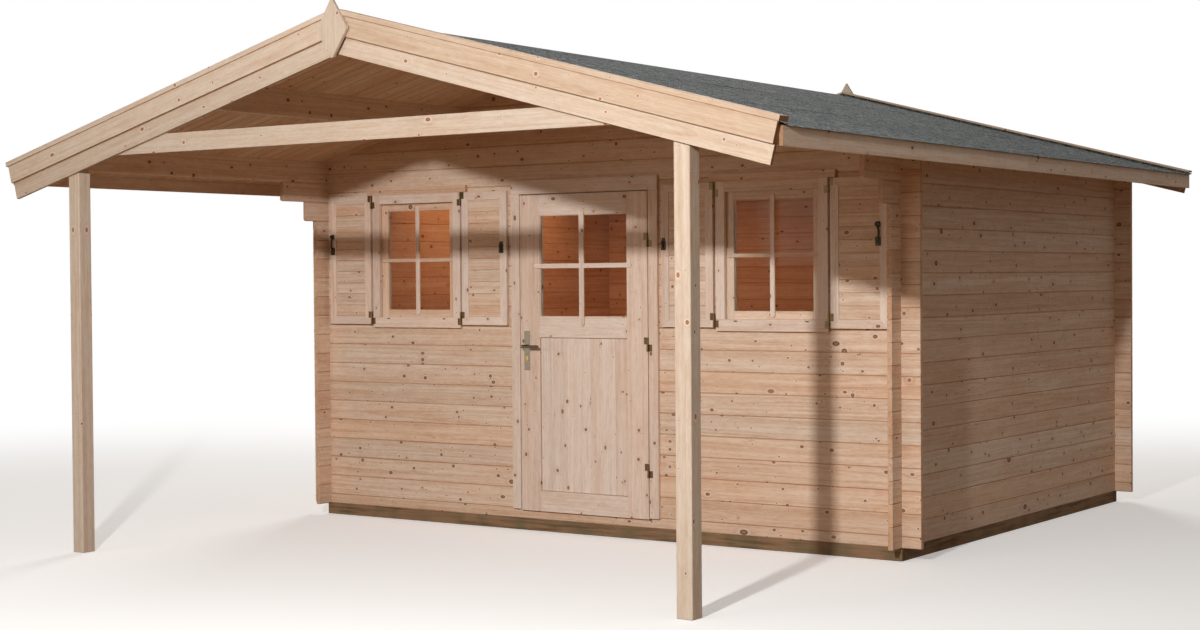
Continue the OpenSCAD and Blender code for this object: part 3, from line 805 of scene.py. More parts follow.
@dataclass
class Timberwork(Work):
    """Collects straight members into one mesh that carries each member's own grain."""

    seed: int = 0

    def __post_init__(self) -> None:
        """Starts an empty piece."""
        self.random = random.Random(self.seed)
        self.points: list[Vector] = []
        self.faces: list[list[int]] = []
        self.lays: list[float] = []
        self.tones: list[float] = []

    def member(self, outline: Sequence[Vector], run: Vector, grain: Vector, across: Vector,
               edge: float = 0.0015) -> None:
        """Adds a member: a flat outline pushed along a straight run, its edges eased.

        Args:
            outline: Corners of the outline, in order.
            run: How far and which way it is pushed.
            grain: Direction of the grain.
            across: Direction of the member's width.
            edge: Width of the eased edges.
        """
        shape = prism(outline, run, edge)
        grain, across = grain.normalized(), across.normalized()
        ways = (grain, across, grain.cross(across))
        points = [v.co.copy() for v in shape.verts]
        middle = Vector([(min(p[i] for p in points) + max(p[i] for p in points)) / 2 for i in range(3)])
        shift = self.random.uniform(0.0, 40.0)
        tone = (self.random.random(), self.random.random())
        start = len(self.points)
        shape.verts.index_update()
        shape.normal_update()
        self.points += points
        for face in shape.faces:
            self.faces.append([start + v.index for v in face.verts])
            end = float(abs(face.normal.dot(grain)) > 0.75)
            for v in face.verts:
                along, aside, deep = ((v.co - middle).dot(way) for way in ways)
                self.lays += (along + shift, aside, deep)
                self.tones += (*tone, end)
        shape.free()

    def board(self, x: Pair, y: Pair, z: Pair, grain: Axis, edge: float = 0.0015) -> None:
        """Adds a board that lies square in the frame.

        Args:
            x: Range from left to right.
            y: Range from front to back.
            z: Range from below to above.
            grain: Direction of the grain: X, Y or Z.
            edge: Width of the eased edges.
        """
        ends = low, high = [Vector([span[i] for span in (x, y, z)]) for i in (0, 1)]
        g = grain.value
        a, b = [i for i in range(3) if i != g]
        corners = []
        for i, j in ((0, 0), (1, 0), (1, 1), (0, 1)):
            point = Vector(low)
            point[a], point[b] = ends[i][a], ends[j][b]
            corners.append(point)
        run, across = Vector(), Vector()
        run[g] = high[g] - low[g]
        across[a if high[a] - low[a] > high[b] - low[b] else b] = 1.0
        self.member(corners, run, run, across, edge)

    def surround(self, outer: Sequence[Pair], y: Pair, hole: Sequence[Pair], edge: float = 0.0015) -> None:
        """Adds two upright boards and the two level boards between them.

        Args:
            outer: Ranges of the whole along X and Z.
            y: Range from front to back.
            hole: Ranges of the opening along X and Z.
            edge: Width of the eased edges.
        """
        (x0, x1), z = outer
        (a, b), (c, d) = hole
        for x in ((x0, a), (b, x1)):
            self.board(x, y, z, Axis.Z, edge)
        for level in ((z[0], c), (d, z[1])):
            self.board((a, b), y, level, Axis.X, edge)

    def bar(self, x: Pair, y: Pair, z: Pair) -> None:
        """Adds a glazing bar with rounded ends, its grain along its longer side.

        Args:
            x: Range from left to right.
            y: Range from front to back.
            z: Range from below to above.
        """
        wide, tall = x[1] - x[0], z[1] - z[0]
        grain, across = (UP, RIGHT) if tall > wide else (RIGHT, UP)
        outline = rounded(x, y[0], z, min(wide, tall) * BAR_ROUND)
        self.member(outline, BACK * (y[1] - y[0]), grain, across, BAR_EDGE)

    def build(self, finish: Material) -> Object:
        """Makes the piece in its finish.

        Args:
            finish: Its material.

        Returns:
            The piece.
        """
        mesh = bpy.data.meshes.new(self.name)
        mesh.from_pydata([tuple(p) for p in self.points], [], self.faces)
        for name, values in (("lay", self.lays), ("tone", self.tones)):
            mesh.attributes.new(name, "FLOAT_VECTOR", "CORNER").data.foreach_set("vector", values)
        return self.place(mesh, finish)


@dataclass
class Metalwork(Skin):
    """Collects small metal forms into one smooth-shaded mesh."""

    def ring(self, centre: Vector, aside: Vector, up: Vector, radius: float, sides: int) -> list:
        """Adds a ring of corners round a point.

        Args:
            centre: The point.
            aside: One direction in the ring's plane.
            up: The direction square to it.
            radius: Radius of the ring.
            sides: How many corners it has.

        Returns:
            Its corners.
        """
        turns = [2 * math.pi * k / sides for k in range(sides)]
        return [self.shape.verts.new(centre + radius * (math.cos(t) * aside + math.sin(t) * up))
                for t in turns]

    def rod(self, points: Sequence[Vector], radius: float, sides: int = 10) -> None:
        """Adds a round bar bent along a line of points.

        Args:
            points: Middle line of the bar.
            radius: Its radius.
            sides: Facets round it.
        """
        rings = []
        last = None
        for index, point in enumerate(points):
            before, after = points[max(index - 1, 0)], points[min(index + 1, len(points) - 1)]
            way = (after - before).normalized()
            last = (way.orthogonal() if last is None else last - way * last.dot(way)).normalized()
            rings.append(self.ring(point, last, way.cross(last).normalized(), radius, sides))
        for low, high in zip(rings, rings[1:]):
            bridge(self.shape, low, high)
        self.shape.faces.new(rings[0][::-1])
        self.shape.faces.new(rings[-1])

    def head(self, centre: Vector, way: Vector, radius: float, rise: float, sides: int = 10) -> None:
        """Adds a domed nail or screw head.

        Args:
            centre: Middle of its foot.
            way: Direction in which it stands out.
            radius: Its radius.
            rise: Its height.
            sides: Facets round it.
        """
        way = way.normalized()
        aside = way.orthogonal().normalized()
        up = way.cross(aside)
        rings = [self.ring(centre + way * rise * lift, aside, up, radius * share, sides)
                 for share, lift in ((1.0, 0.0), (0.94, 0.5), (0.6, 0.9))]
        for low, high in zip(rings, rings[1:]):
            bridge(self.shape, low, high)
        top = self.shape.verts.new(centre + way * rise)
        for k in range(sides):
            self.shape.faces.new((rings[-1][k], rings[-1][(k + 1) % sides], top))
        self.shape.faces.new(rings[0][::-1])

    def plate(self, x: Pair, y: Pair, z: Pair, corner: float) -> None:
        """Adds a flat plate that faces the front, its four corners cut round and its rim eased.

        Args:
            x: Range from left to right.
            y: Range from front to back.
            z: Range from below to above.
            corner: Radius of the plate's corners.
        """
        deep = y[1] - y[0]
        shape = prism(rounded(x, y[0], z, corner), BACK * deep, deep * PLATE_EDGE, 1.2)
        mesh = bpy.data.meshes.new("plate")
        shape.to_mesh(mesh)
        shape.free()
        self.shape.from_mesh(mesh)
        bpy.data.meshes.remove(mesh)

    def build(self, finish: Material) -> Object:
        """Makes the piece in its finish.

        Args:
            finish: Its material.

        Returns:
            The piece.
        """
        mesh = self.mesh()
        mesh.shade_smooth()
        mesh.set_sharp_from_angle(angle=math.radians(40))
        return self.place(mesh, finish)


# ---------------------------------------------------------------- base, floor and walls


@dataclass
class Sleepers:
    """Treated sleepers under the walls and the floor."""

    height: float = 0.070
    edge: float = 0.003

    def build(self) -> list[Object]:
        """Dresses the sleepers.

        Returns:
            The pieces.
        """
        half = self.height / 2
        crossing = Boards(Axis.X, Axis.Z, Axis.Y, box("cross_sleepers")[0].y + half, half)
        long = Boards(Axis.Y, Axis.Z, Axis.X, centre=half, mirrored=True)
        return [dress("cross_sleepers", TREATED.material(crossing, "_front"), self.edge),
                dress("sleepers", TREATED.material(long, "_joists"), self.edge)]


@dataclass
class FloorDeck:
    """Tongued floor boards inside the house."""

    cover: float = 0.1130
    edge: float = 0.0018
    gap: float = 0.0006

    def build(self) -> list[Object]:
        """Lays the boards from front to back.

        Returns:
            The pieces.
        """
        low, high = box("floor_boards")
        deck = Timberwork("floor_deck", "floor_wood", replaces=("floor_boards",), seed=11)
        count = round((high.y - low.y) / self.cover)
        pitch = (high.y - low.y) / count
        for index in range(count):
            y = low.y + index * pitch
            deck.board((low.x, high.x), (y + self.gap / 2, y + pitch - self.gap / 2), (low.z, high.z),
                       Axis.X, self.edge)
        return [deck.build(FLOORING.material(Carried()))]


@dataclass
class LogWalls:
    """Walls of interlocking log boards, with the gables."""

    course: float = 0.121

    def build(self) -> list[Object]:
        """Dresses the side walls, end walls and gables.

        Returns:
            The pieces.
        """
        pieces = []
        for name in ("side_wall_left", "side_wall_right", "front_sill_log", "front_wall_left",
                     "front_wall_right", "front_gable", "back_wall", "back_gable"):
            side = name.startswith("side")
            grain, depth = (Axis.Y, Axis.X) if side else (Axis.X, Axis.Y)
            first = box(name)[0].z if side else box("front_sill_log")[0].z - self.course / 2
            lie = Boards(grain, Axis.Z, depth, mid(name, depth), mirrored=name.startswith("front_wall"),
                         pitch=self.course, first=first)
            pieces.append(dress(name, LOGS.material(lie, name[9:] if side else "_" + name)))
        return pieces


# ---------------------------------------------------------------- roof


def on_roof(side: int, down: float, y: float, rise: float) -> Vector:
    """Point of the roof, from its side, the way down the deck's top, the way back and the height over it."""
    top = box("roof_boards_left")[1].z
    return Vector((side * (down * COS + rise * SIN), y, top - down * SIN + rise * COS))


@dataclass
class RoofTimbers:
    """Eave beams, purlins, tie board and canopy posts."""

    log: float = 0.028
    purlin_x: float = 0.9285
    post: float = 0.085
    edge: float = 0.0015
    post_edge: float = 0.0025

    def build(self) -> list[Object]:
        """Dresses the roof's load-bearing timbers.

        Returns:
            The pieces.
        """
        pieces = []
        for name, label, middle in (("eave_beams", "_beams", box("eave_beams")[1].x - self.log / 2),
                                    ("middle_purlins", "_purlins", self.purlin_x),
                                    ("ridge_purlin", "_ridge", 0.0)):
            lie = Boards(Axis.Y, Axis.Z, Axis.X, middle, mid(name, Axis.Z), middle > 0.0)
            pieces.append(dress(name, LOGS.material(lie, label), self.edge))
        tie = Boards(Axis.X, Axis.Z, Axis.Y, mid("tie_board", Axis.Y), mid("tie_board", Axis.Z))
        post = Boards(Axis.Z, Axis.X, Axis.Y, mid("posts", Axis.Y), box("posts")[1].x - self.post / 2, True)
        return pieces + [dress("tie_board", TRIM.material(tie, "_tie"), self.edge),
                         dress("posts", TRIM.material(post, "_posts"), self.post_edge)]


@dataclass
class RoofBoards:
    """Tongued roof boards from ridge to eave, with a V on the underside."""

    thick: float = 0.020
    cover: float = 0.0896
    vee: float = 0.0055
    play: float = 0.0002

    def build(self) -> list[Object]:
        """Lays the boards of both halves."""
        return [self.half(side, name) for side, name in ((-1, "left"), (1, "right"))]

    def half(self, side: int, name: str) -> Object:
        """Lays one half, left or right.

        Args:
            side: Which half: -1 left, 1 right.
            name: Left or right, in words.

        Returns:
            The piece.
        """
        node = f"roof_boards_{name}"
        low, high = box(node)
        reach = (max(abs(low.x), abs(high.x)) - self.play) / COS
        count = round((high.y - low.y) / self.cover)
        pitch = (high.y - low.y) / count
        work = Timberwork(f"soffit_boards_{name}", "roof_wood", replaces=(node,), seed=21 + side)
        start = self.thick * math.tan(PITCH) + self.play
        run = Vector((side * COS, 0.0, -SIN)) * (reach - start)
        for index in range(count):
            y0 = low.y + index * pitch
            y1 = y0 + pitch
            outline = [(y0, 0.0), (y1, 0.0), (y1, self.vee - self.thick), (y1 - self.vee, -self.thick),
                       (y0 + self.vee, -self.thick), (y0, self.vee - self.thick)]
            work.member([on_roof(side, start, y, rise) for y, rise in outline], run, run, BACK, 0.0)
        return work.build(LINING.material(Carried(), f"_{name}"))


@dataclass
class RoofCover:
    """Lapped sheets of roofing felt, turned up at the gable edges, with clout nails."""

    sheets: int = 3
    lap: float = 0.075
    lap_slope: float = 0.03
    thick: float = 0.0012
    rise: float = 0.0003
    wave: float = 0.0004
    upstand: float = 0.009
    upstand_width: float = 0.030
    eave_play: float = 0.0015
    rows: int = 12
    spans: int = 60
    nail_up: float = 0.022
    nail_pitch: float = 0.10
    nail_first: float = 0.08
    nail_last: float = 0.05
    nail_r: float = 0.0055
    nail_rise: float = 0.0012
    nail_sunk: float = 0.0002

    def build(self) -> list[Object]:
        """Covers both halves and nails the laps.

        Returns:
            The pieces.
        """
        low, high = box("roof_felt_right")
        self.low, self.high = low.y, high.y
        self.cover = (high.x / COS - self.eave_play) / self.sheets
        finish = Felt().material()
        return [self.half(side, name, finish) for side, name in ((-1, "left"), (1, "right"))] + [self.nails()]

    def half(self, side: int, name: str, finish: Material) -> Object:
        """Covers one half.

        Args:
            side: Which half.
            name: Left or right.
            finish: The felt's material.

        Returns:
            The piece.
        """
        work = Skin(f"felt_sheets_{name}", "felt", replaces=(f"roof_felt_{name}",))
        for number in range(self.sheets):
            start = max(number * self.cover - self.lap, 0.0)
            stop = (number + 1) * self.cover
            rows = [start + (stop - start) * k / self.rows for k in range(self.rows + 1)]
            self.sheet(work.shape, side, rows, number)
        return work.place(work.mesh(), finish)

    def columns(self) -> list[float]:
        """Ways along the ridge at which a sheet has points, close together at its edges.

        Returns:
            The ways, from front to back.
        """
        y0, y1, width = self.low, self.high, self.upstand_width
        inner = [y0 + width + (y1 - y0 - 2 * width) * k / self.spans for k in range(self.spans + 1)]
        return [y0, y0 + width * 0.4, *inner, y1 - width * 0.4, y1]

    def lift(self, number: int, down: float, y: float) -> float:
        """Height of a sheet's underside over the deck.

        Args:
            number: The sheet, counted from the ridge.
            down: Way down the slope.
            y: Way from front to back.

        Returns:
            The height.
        """
        layers = 0.0
        if number < self.sheets - 1:
            near = (down - ((number + 1) * self.cover - self.lap - self.lap_slope)) / self.lap_slope
            layers = min(max(near, 0.0), 1.0) * self.thick
        edge = min(y - self.low, self.high - y)
        turned = self.upstand * max(0.0, 1.0 - edge / self.upstand_width) ** 1.5
        wave = self.wave * (1.0 + math.sin(3.1 * y + 2.0 * number) * math.sin(5.3 * down + 0.7 * number))
        return self.rise + layers + turned + wave

    def sheet(self, shape: bmesh.types.BMesh, side: int, rows: Sequence[float], number: int) -> None:
        """Adds one sheet as a closed skin.

        Args:
            shape: The mesh that takes it.
            side: Which half.
            rows: Ways down the slope.
            number: The sheet, counted from the ridge.
        """
        columns = self.columns()
        lower, upper = [[[shape.verts.new(on_roof(side, down, y, self.lift(number, down, y) + up))
                          for y in columns] for down in rows] for up in (0.0, self.thick)]
        last_row, last_column = len(rows) - 1, len(columns) - 1
        for skin in (lower, upper):
            for i in range(last_row):
                for j in range(last_column):
                    shape.faces.new((skin[i][j], skin[i][j + 1], skin[i + 1][j + 1], skin[i + 1][j]))
        for i in (0, last_row):
            for j in range(last_column):
                shape.faces.new((lower[i][j], lower[i][j + 1], upper[i][j + 1], upper[i][j]))
        for j in (0, last_column):
            for i in range(last_row):
                shape.faces.new((lower[i][j], lower[i + 1][j], upper[i + 1][j], upper[i][j]))

    def nails(self) -> Object:
        """Clout nails along each lap.

        Returns:
            The piece.
        """
        work = Metalwork("felt_nails", "steel")
        for side in SIDES:
            way = on_roof(side, 0.0, 0.0, 1.0) - on_roof(side, 0.0, 0.0, 0.0)
            for number in range(self.sheets):
                down = (number + 1) * self.cover - self.nail_up
                y = self.low + self.nail_first
                while y < self.high - self.nail_last:
                    rise = self.lift(number, down, y) + self.thick - self.nail_sunk
                    work.head(on_roof(side, down, y, rise), way, self.nail_r, self.nail_rise, 8)
                    y += self.nail_pitch
        return work.build(NAILS.material())


@dataclass
class RoofTrim:
    """Fascia boards, barge boards, cover strips and finials."""

    fascia_t: float = 0.018
    finial_t: float = 0.016
    edge: float = 0.0016
    front_board: float = 0.099
    rear_board: float = 0.140
    strip: float = 0.030

    def build(self) -> list[Object]:
        """Dresses the trim of the roof's edges.

        Returns:
            The pieces.
        """
        fascia = Boards(Axis.Y, Axis.Z, Axis.X, box("fascia_boards")[1].x - self.fascia_t / 2,
                        mid("fascia_boards", Axis.Z), True)
        pieces = [dress("fascia_boards", FASCIA.material(fascia), self.edge)]
        for name, pitch in (("front_barge_boards", self.front_board), ("rear_barge_boards", self.rear_board),
                            ("front_cover_strips", self.strip), ("rear_cover_strips", self.strip)):
            lie = Boards(Axis.SLOPE, Axis.SQUARE, Axis.Y, mid(name, Axis.Y), mirrored=True, pitch=pitch,
                         first=box(name)[1].z * COS - 2 * pitch)
            pieces.append(dress(name, TRIM.material(lie, "_" + name), self.edge))
        kite = Boards(Axis.Z, Axis.X, Axis.Y, box("finials")[0].y + self.finial_t / 2)
        return pieces + [dress("finials", TRIM.material(kite, "_finials"), self.edge)]


# ---------------------------------------------------------------- door


@dataclass
class DoorFrame:
    """Lining, stops and trim round the door."""

    trim: float = 0.062
    trim_t: float = 0.020
    jamb: float = 0.025
    stop: float = 0.012
    foot: float = 0.012
    head_lap: float = 0.028
    gap: float = 0.006
    edge: float = 0.0018

    def build(self) -> list[Object]:
        """Makes the frame's members.

        Returns:
            The pieces.
        """
        low, high = box("door_frame")
        wall = low.y + self.trim_t
        open_x = high.x - self.trim
        head = box("door_leaf")[1].z + self.gap
        lintel = high.z - self.head_lap
        front, lining, stop = (low.y, wall), (wall, high.y), (high.y - self.stop, high.y)
        work = Timberwork("door_lining", replaces=("door_frame",), seed=31)
        for side in SIDES:
            work.board(beside(side, open_x, high.x), front, (low.z + self.foot, head), Axis.Z, self.edge)
            work.board(beside(side, open_x, open_x + self.jamb), lining, (low.z, lintel), Axis.Z)
            work.board(beside(side, open_x - self.stop, open_x), stop, (low.z, head), Axis.Z)
        work.board((low.x, high.x), front, (head, high.z), Axis.X, self.edge)
        work.board((-open_x, open_x), lining, (head, lintel), Axis.X)
        work.board((self.stop - open_x, open_x - self.stop), stop, (head - self.stop, head), Axis.X)
        return [work.build(JOINERY.material(Carried(), "_door_frame"))]


@dataclass
class Door:
    """Framed door leaf with four panes above and a boarded panel below, and its fittings."""

    stile: float = 0.142
    rail: float = 0.122
    mid_rail: float = 1.037
    panel_in: float = 0.010
    panel_face: float = 0.007
    panel_rebate: float = 0.0035
    panel_boards: int = 7
    panel_edge: float = 0.0012
    groove: float = 0.008
    bar_w: float = 0.034
    bar_h: float = 0.028
    bar_t: float = 0.011
    bar_lap: float = 0.036
    bar_foot: float = 0.052
    bead: float = 0.005
    bead_in: float = 0.006
    screw_foot: float = 0.028
    screw_top: float = 0.012
    screw_r: float = 0.0032
    screw_rise: float = 0.0008
    plate_screw_in: float = 0.014
    plate_screw_r: float = 0.0040
    plate_screw_rise: float = 0.0012
    key_share: float = 0.30
    key_w: float = 0.0085
    key_h: float = 0.016
    key_out: float = 0.004
    key_in: float = 0.001
    key_corner: float = 0.0080
    plug_up: float = 0.006
    plug_r: float = 0.0068
    plug_rise: float = 0.0020
    edge: float = 0.0018

    def build(self) -> list[Object]:
        """Makes the leaf and dresses its fittings.

        Returns:
            The pieces.
        """
        steel, bronze = STEEL.material(), BRONZE.material()
        return [self.leaf(), dress("door_glass", Pane("door_glass_clear").material()),
                dress("door_hinge_leaves", bronze), dress("door_hinge_pins", bronze),
                dress("lock_plates", steel, 0.0008), dress("door_lever", LEVER.material()),
                self.screws(), self.cylinder()]

    def leaf(self) -> Object:
        """Makes the framed leaf with its panel boards, glazing bars and beads.

        Returns:
            The piece.
        """
        low, high = box("door_leaf")
        pane_low, pane_high = box("door_glass")
        inner = high.x - self.stile
        wide, full = (-inner, inner), (low.y, high.y)
        sill, top = pane_low.z + self.groove, pane_high.z - self.groove
        panel_low, panel_top = low.z + self.rail, low.z + self.mid_rail
        work = Timberwork("door_panels", body="door", replaces=("door_leaf",), seed=41)
        for x in ((low.x, -inner), (inner, high.x)):
            work.board(x, full, (low.z, high.z), Axis.Z, self.edge)
        for z in ((low.z, panel_low), (panel_top, sill), (top, high.z)):
            work.board(wide, full, z, Axis.X, self.edge)
        rebate = self.panel_rebate
        face, core = low.y + self.panel_in, low.y + self.panel_in + self.panel_face
        pitch = 2 * (inner - rebate) / self.panel_boards
        for index in range(self.panel_boards):
            x = -inner + rebate + index * pitch
            work.board((x, x + pitch), (face, core), (panel_low + rebate, panel_top - rebate), Axis.Z,
                       self.panel_edge)
        work.board(wide, (core, high.y - self.panel_in), (panel_low, panel_top), Axis.Z)
        middle, half_w, half_h = (sill + top) / 2, self.bar_w / 2, self.bar_h / 2
        work.bar((-half_w, half_w), (low.y - self.bar_t, low.y), (sill - self.bar_foot, top + self.bar_lap))
        work.bar((-inner - self.bar_lap, inner + self.bar_lap), (low.y - self.bar_t * 0.72, low.y),
                 (middle - half_h, middle + half_h))
        for y in ((low.y + self.bead_in, pane_low.y), (pane_high.y, high.y - self.bead_in)):
            work.surround((wide, (sill, top)), y, grow((wide, (sill, top)), -self.bead))
        return work.build(JOINERY.material(Carried(), "_door"))

    def screws(self) -> Object:
        """Small screws at the ends of the upright bar and in the lock plate.

        Returns:
            The piece.
        """
        work = Metalwork("door_screws", "steel", "door")
        pane_low, pane_high = box("door_glass")
        for z in (pane_low.z - self.screw_foot, pane_high.z + self.screw_top):
            work.head(Vector((0.0, box("door_leaf")[0].y - self.bar_t, z)), -BACK, self.screw_r, self.screw_rise)
        low, high = box("lock_plates")
        for z in (low.z + self.plate_screw_in, high.z - self.plate_screw_in):
            work.head(Vector((mid("lock_plates", Axis.X), low.y, z)), -BACK, self.plate_screw_r,
                      self.plate_screw_rise)
        return work.build(NAILS.material())

    def cylinder(self) -> Object:
        """Brass lock cylinder below the lever.

        Returns:
            The piece.
        """
        work = Metalwork("lock_cylinder", "bronze", "door")
        low, high = box("lock_plates")
        x, y = mid("lock_plates", Axis.X), low.y - self.key_out
        z = low.z + (high.z - low.z) * self.key_share
        work.plate((x - self.key_w, x + self.key_w), (y, low.y + self.key_in), (z - self.key_h, z + self.key_h),
                   self.key_corner)
        work.head(Vector((x, y, z + self.plug_up)), -BACK, self.plug_r, self.plug_rise, 14)
        return work.build(BRASS.material())


# ---------------------------------------------------------------- windows


@dataclass
class Windows:
    """Both windows: lining, trim, head board, sash, glazing bars and drain slots."""

    trim: float = 0.058
    trim_t: float = 0.024
    inner_share: float = 0.9
    base: float = 0.066
    head: float = 0.043
    head_out: float = 0.046
    log: float = 0.028
    lining: float = 0.022
    sash: float = 0.052
    bar_w: float = 0.029
    bar_h: float = 0.022
    bar_t: float = 0.012
    level_in: float = 0.003
    bar_lap: float = 0.044
    bar_foot: float = 0.032
    bar_top: float = 0.030
    slot_x: float = 0.225
    slot_down: float = 0.010
    slot_w: float = 0.011
    slot_h: float = 0.0028
    slot_out: float = 0.0006
    slot_in: float = 0.0004
    slot_corner: float = 0.0024
    edge: float = 0.0018

    def build(self) -> list[Object]:
        """Makes the frames and the sashes.

        Returns:
            The pieces.
        """
        self.centre = (box("shutter_3")[0].x + box("shutter_4")[1].x) / 2
        self.half = box("window_sashes")[1].x - self.centre
        glass = dress("window_glass", Pane().material())
        return [self.frames(), self.heads(), self.sashes(), self.bars(), glass, self.slots()]

    def frames(self) -> Object:
        """Makes the trim and the linings.

        Returns:
            The piece.
        """
        low, high = box("window_frames")
        sash_low, sash_high = box("window_sashes")
        wall = low.y + self.trim_t
        front, inside = (low.y, wall), (wall + self.log, high.y)
        x1 = high.x - self.head_out
        x0 = x1 - 2 * (x1 - self.centre)
        top, foot, trim = high.z - self.head, low.z + self.base, self.trim
        inner = trim * self.inner_share
        work = Timberwork("window_linings", replaces=("window_frames",), seed=51)
        for side in SIDES:
            a, b = beside(side, x0, x1)
            for x in ((a, a + trim), (b - trim, b)):
                work.board(x, front, (foot, top), Axis.Z, self.edge)
            work.board((a, b), front, (low.z, foot), Axis.X, self.edge)
            work.board((a + trim, b - trim), front, (top - trim, top), Axis.X, self.edge)
            hole = ((side * self.centre - self.half, side * self.centre + self.half),
                    (sash_low.z, sash_high.z))
            work.surround(grow(hole, self.lining), (wall, high.y), hole)
            work.surround(((a, b), (low.z, high.z)), inside,
                          ((a + inner, b - inner), *grow(hole[1:], self.lining)))
        return work.build(JOINERY.material(Carried(), "_windows"))

    def heads(self) -> Object:
        """Makes the head board over each window.

        Returns:
            The piece.
        """
        low, high = box("window_frames")
        wide = high.x - self.centre
        work = Timberwork("window_heads", seed=55)
        for side in SIDES:
            centre = side * self.centre
            work.board((centre - wide, centre + wide), (low.y, low.y + self.trim_t),
                       (high.z - self.head, high.z), Axis.X, self.edge)
        return work.build(LOGS.material(Carried(), "_heads"))

    def sashes(self) -> Object:
        """Makes the sashes with their level glazing bars.

        Returns:
            The piece.
        """
        low, high = box("window_sashes")
        work = Timberwork("window_casements", replaces=("window_sashes",), seed=61)
        middle, reach = (low.z + high.z) / 2, self.half - self.sash + self.bar_lap
        for side in SIDES:
            centre = side * self.centre
            outer = ((centre - self.half, centre + self.half), (low.z, high.z))
            work.surround(outer, (low.y, high.y), grow(outer, -self.sash), self.edge)
            work.bar((centre - reach, centre + reach), (low.y - self.bar_t + self.level_in, low.y),
                     (middle - self.bar_h / 2, middle + self.bar_h / 2))
        return work.build(LOGS.material(Carried(), "_sashes"))

    def bars(self) -> Object:
        """Makes the upright glazing bars, which lie over the level ones.

        Returns:
            The piece.
        """
        low, high = box("window_sashes")
        work = Timberwork("window_bars", seed=63)
        for side in SIDES:
            centre = side * self.centre
            work.bar((centre - self.bar_w / 2, centre + self.bar_w / 2), (low.y - self.bar_t, low.y),
                     (low.z + self.sash - self.bar_foot, high.z - self.sash + self.bar_top))
        return work.build(JOINERY.material(Carried(), "_bars"))

    def slots(self) -> Object:
        """Drain slots in the base boards, drawn as thin plates in painted shade instead of openings.

        Returns:
            The piece.
        """
        work = Metalwork("drain_slots", "bronze")
        low, _ = box("window_frames")
        z = low.z + self.base - self.slot_down
        for side in SIDES:
            # Each slot is a thin plate whose colour is the painted shade of the opening.
            for x in (side * self.centre - self.slot_x, side * self.centre + self.slot_x):
                work.plate((x - self.slot_w, x + self.slot_w), (low.y - self.slot_out, low.y + self.slot_in),
                           (z - self.slot_h, z + self.slot_h), self.slot_corner)
        return work.build(Shade().material())


# ---------------------------------------------------------------- shutters


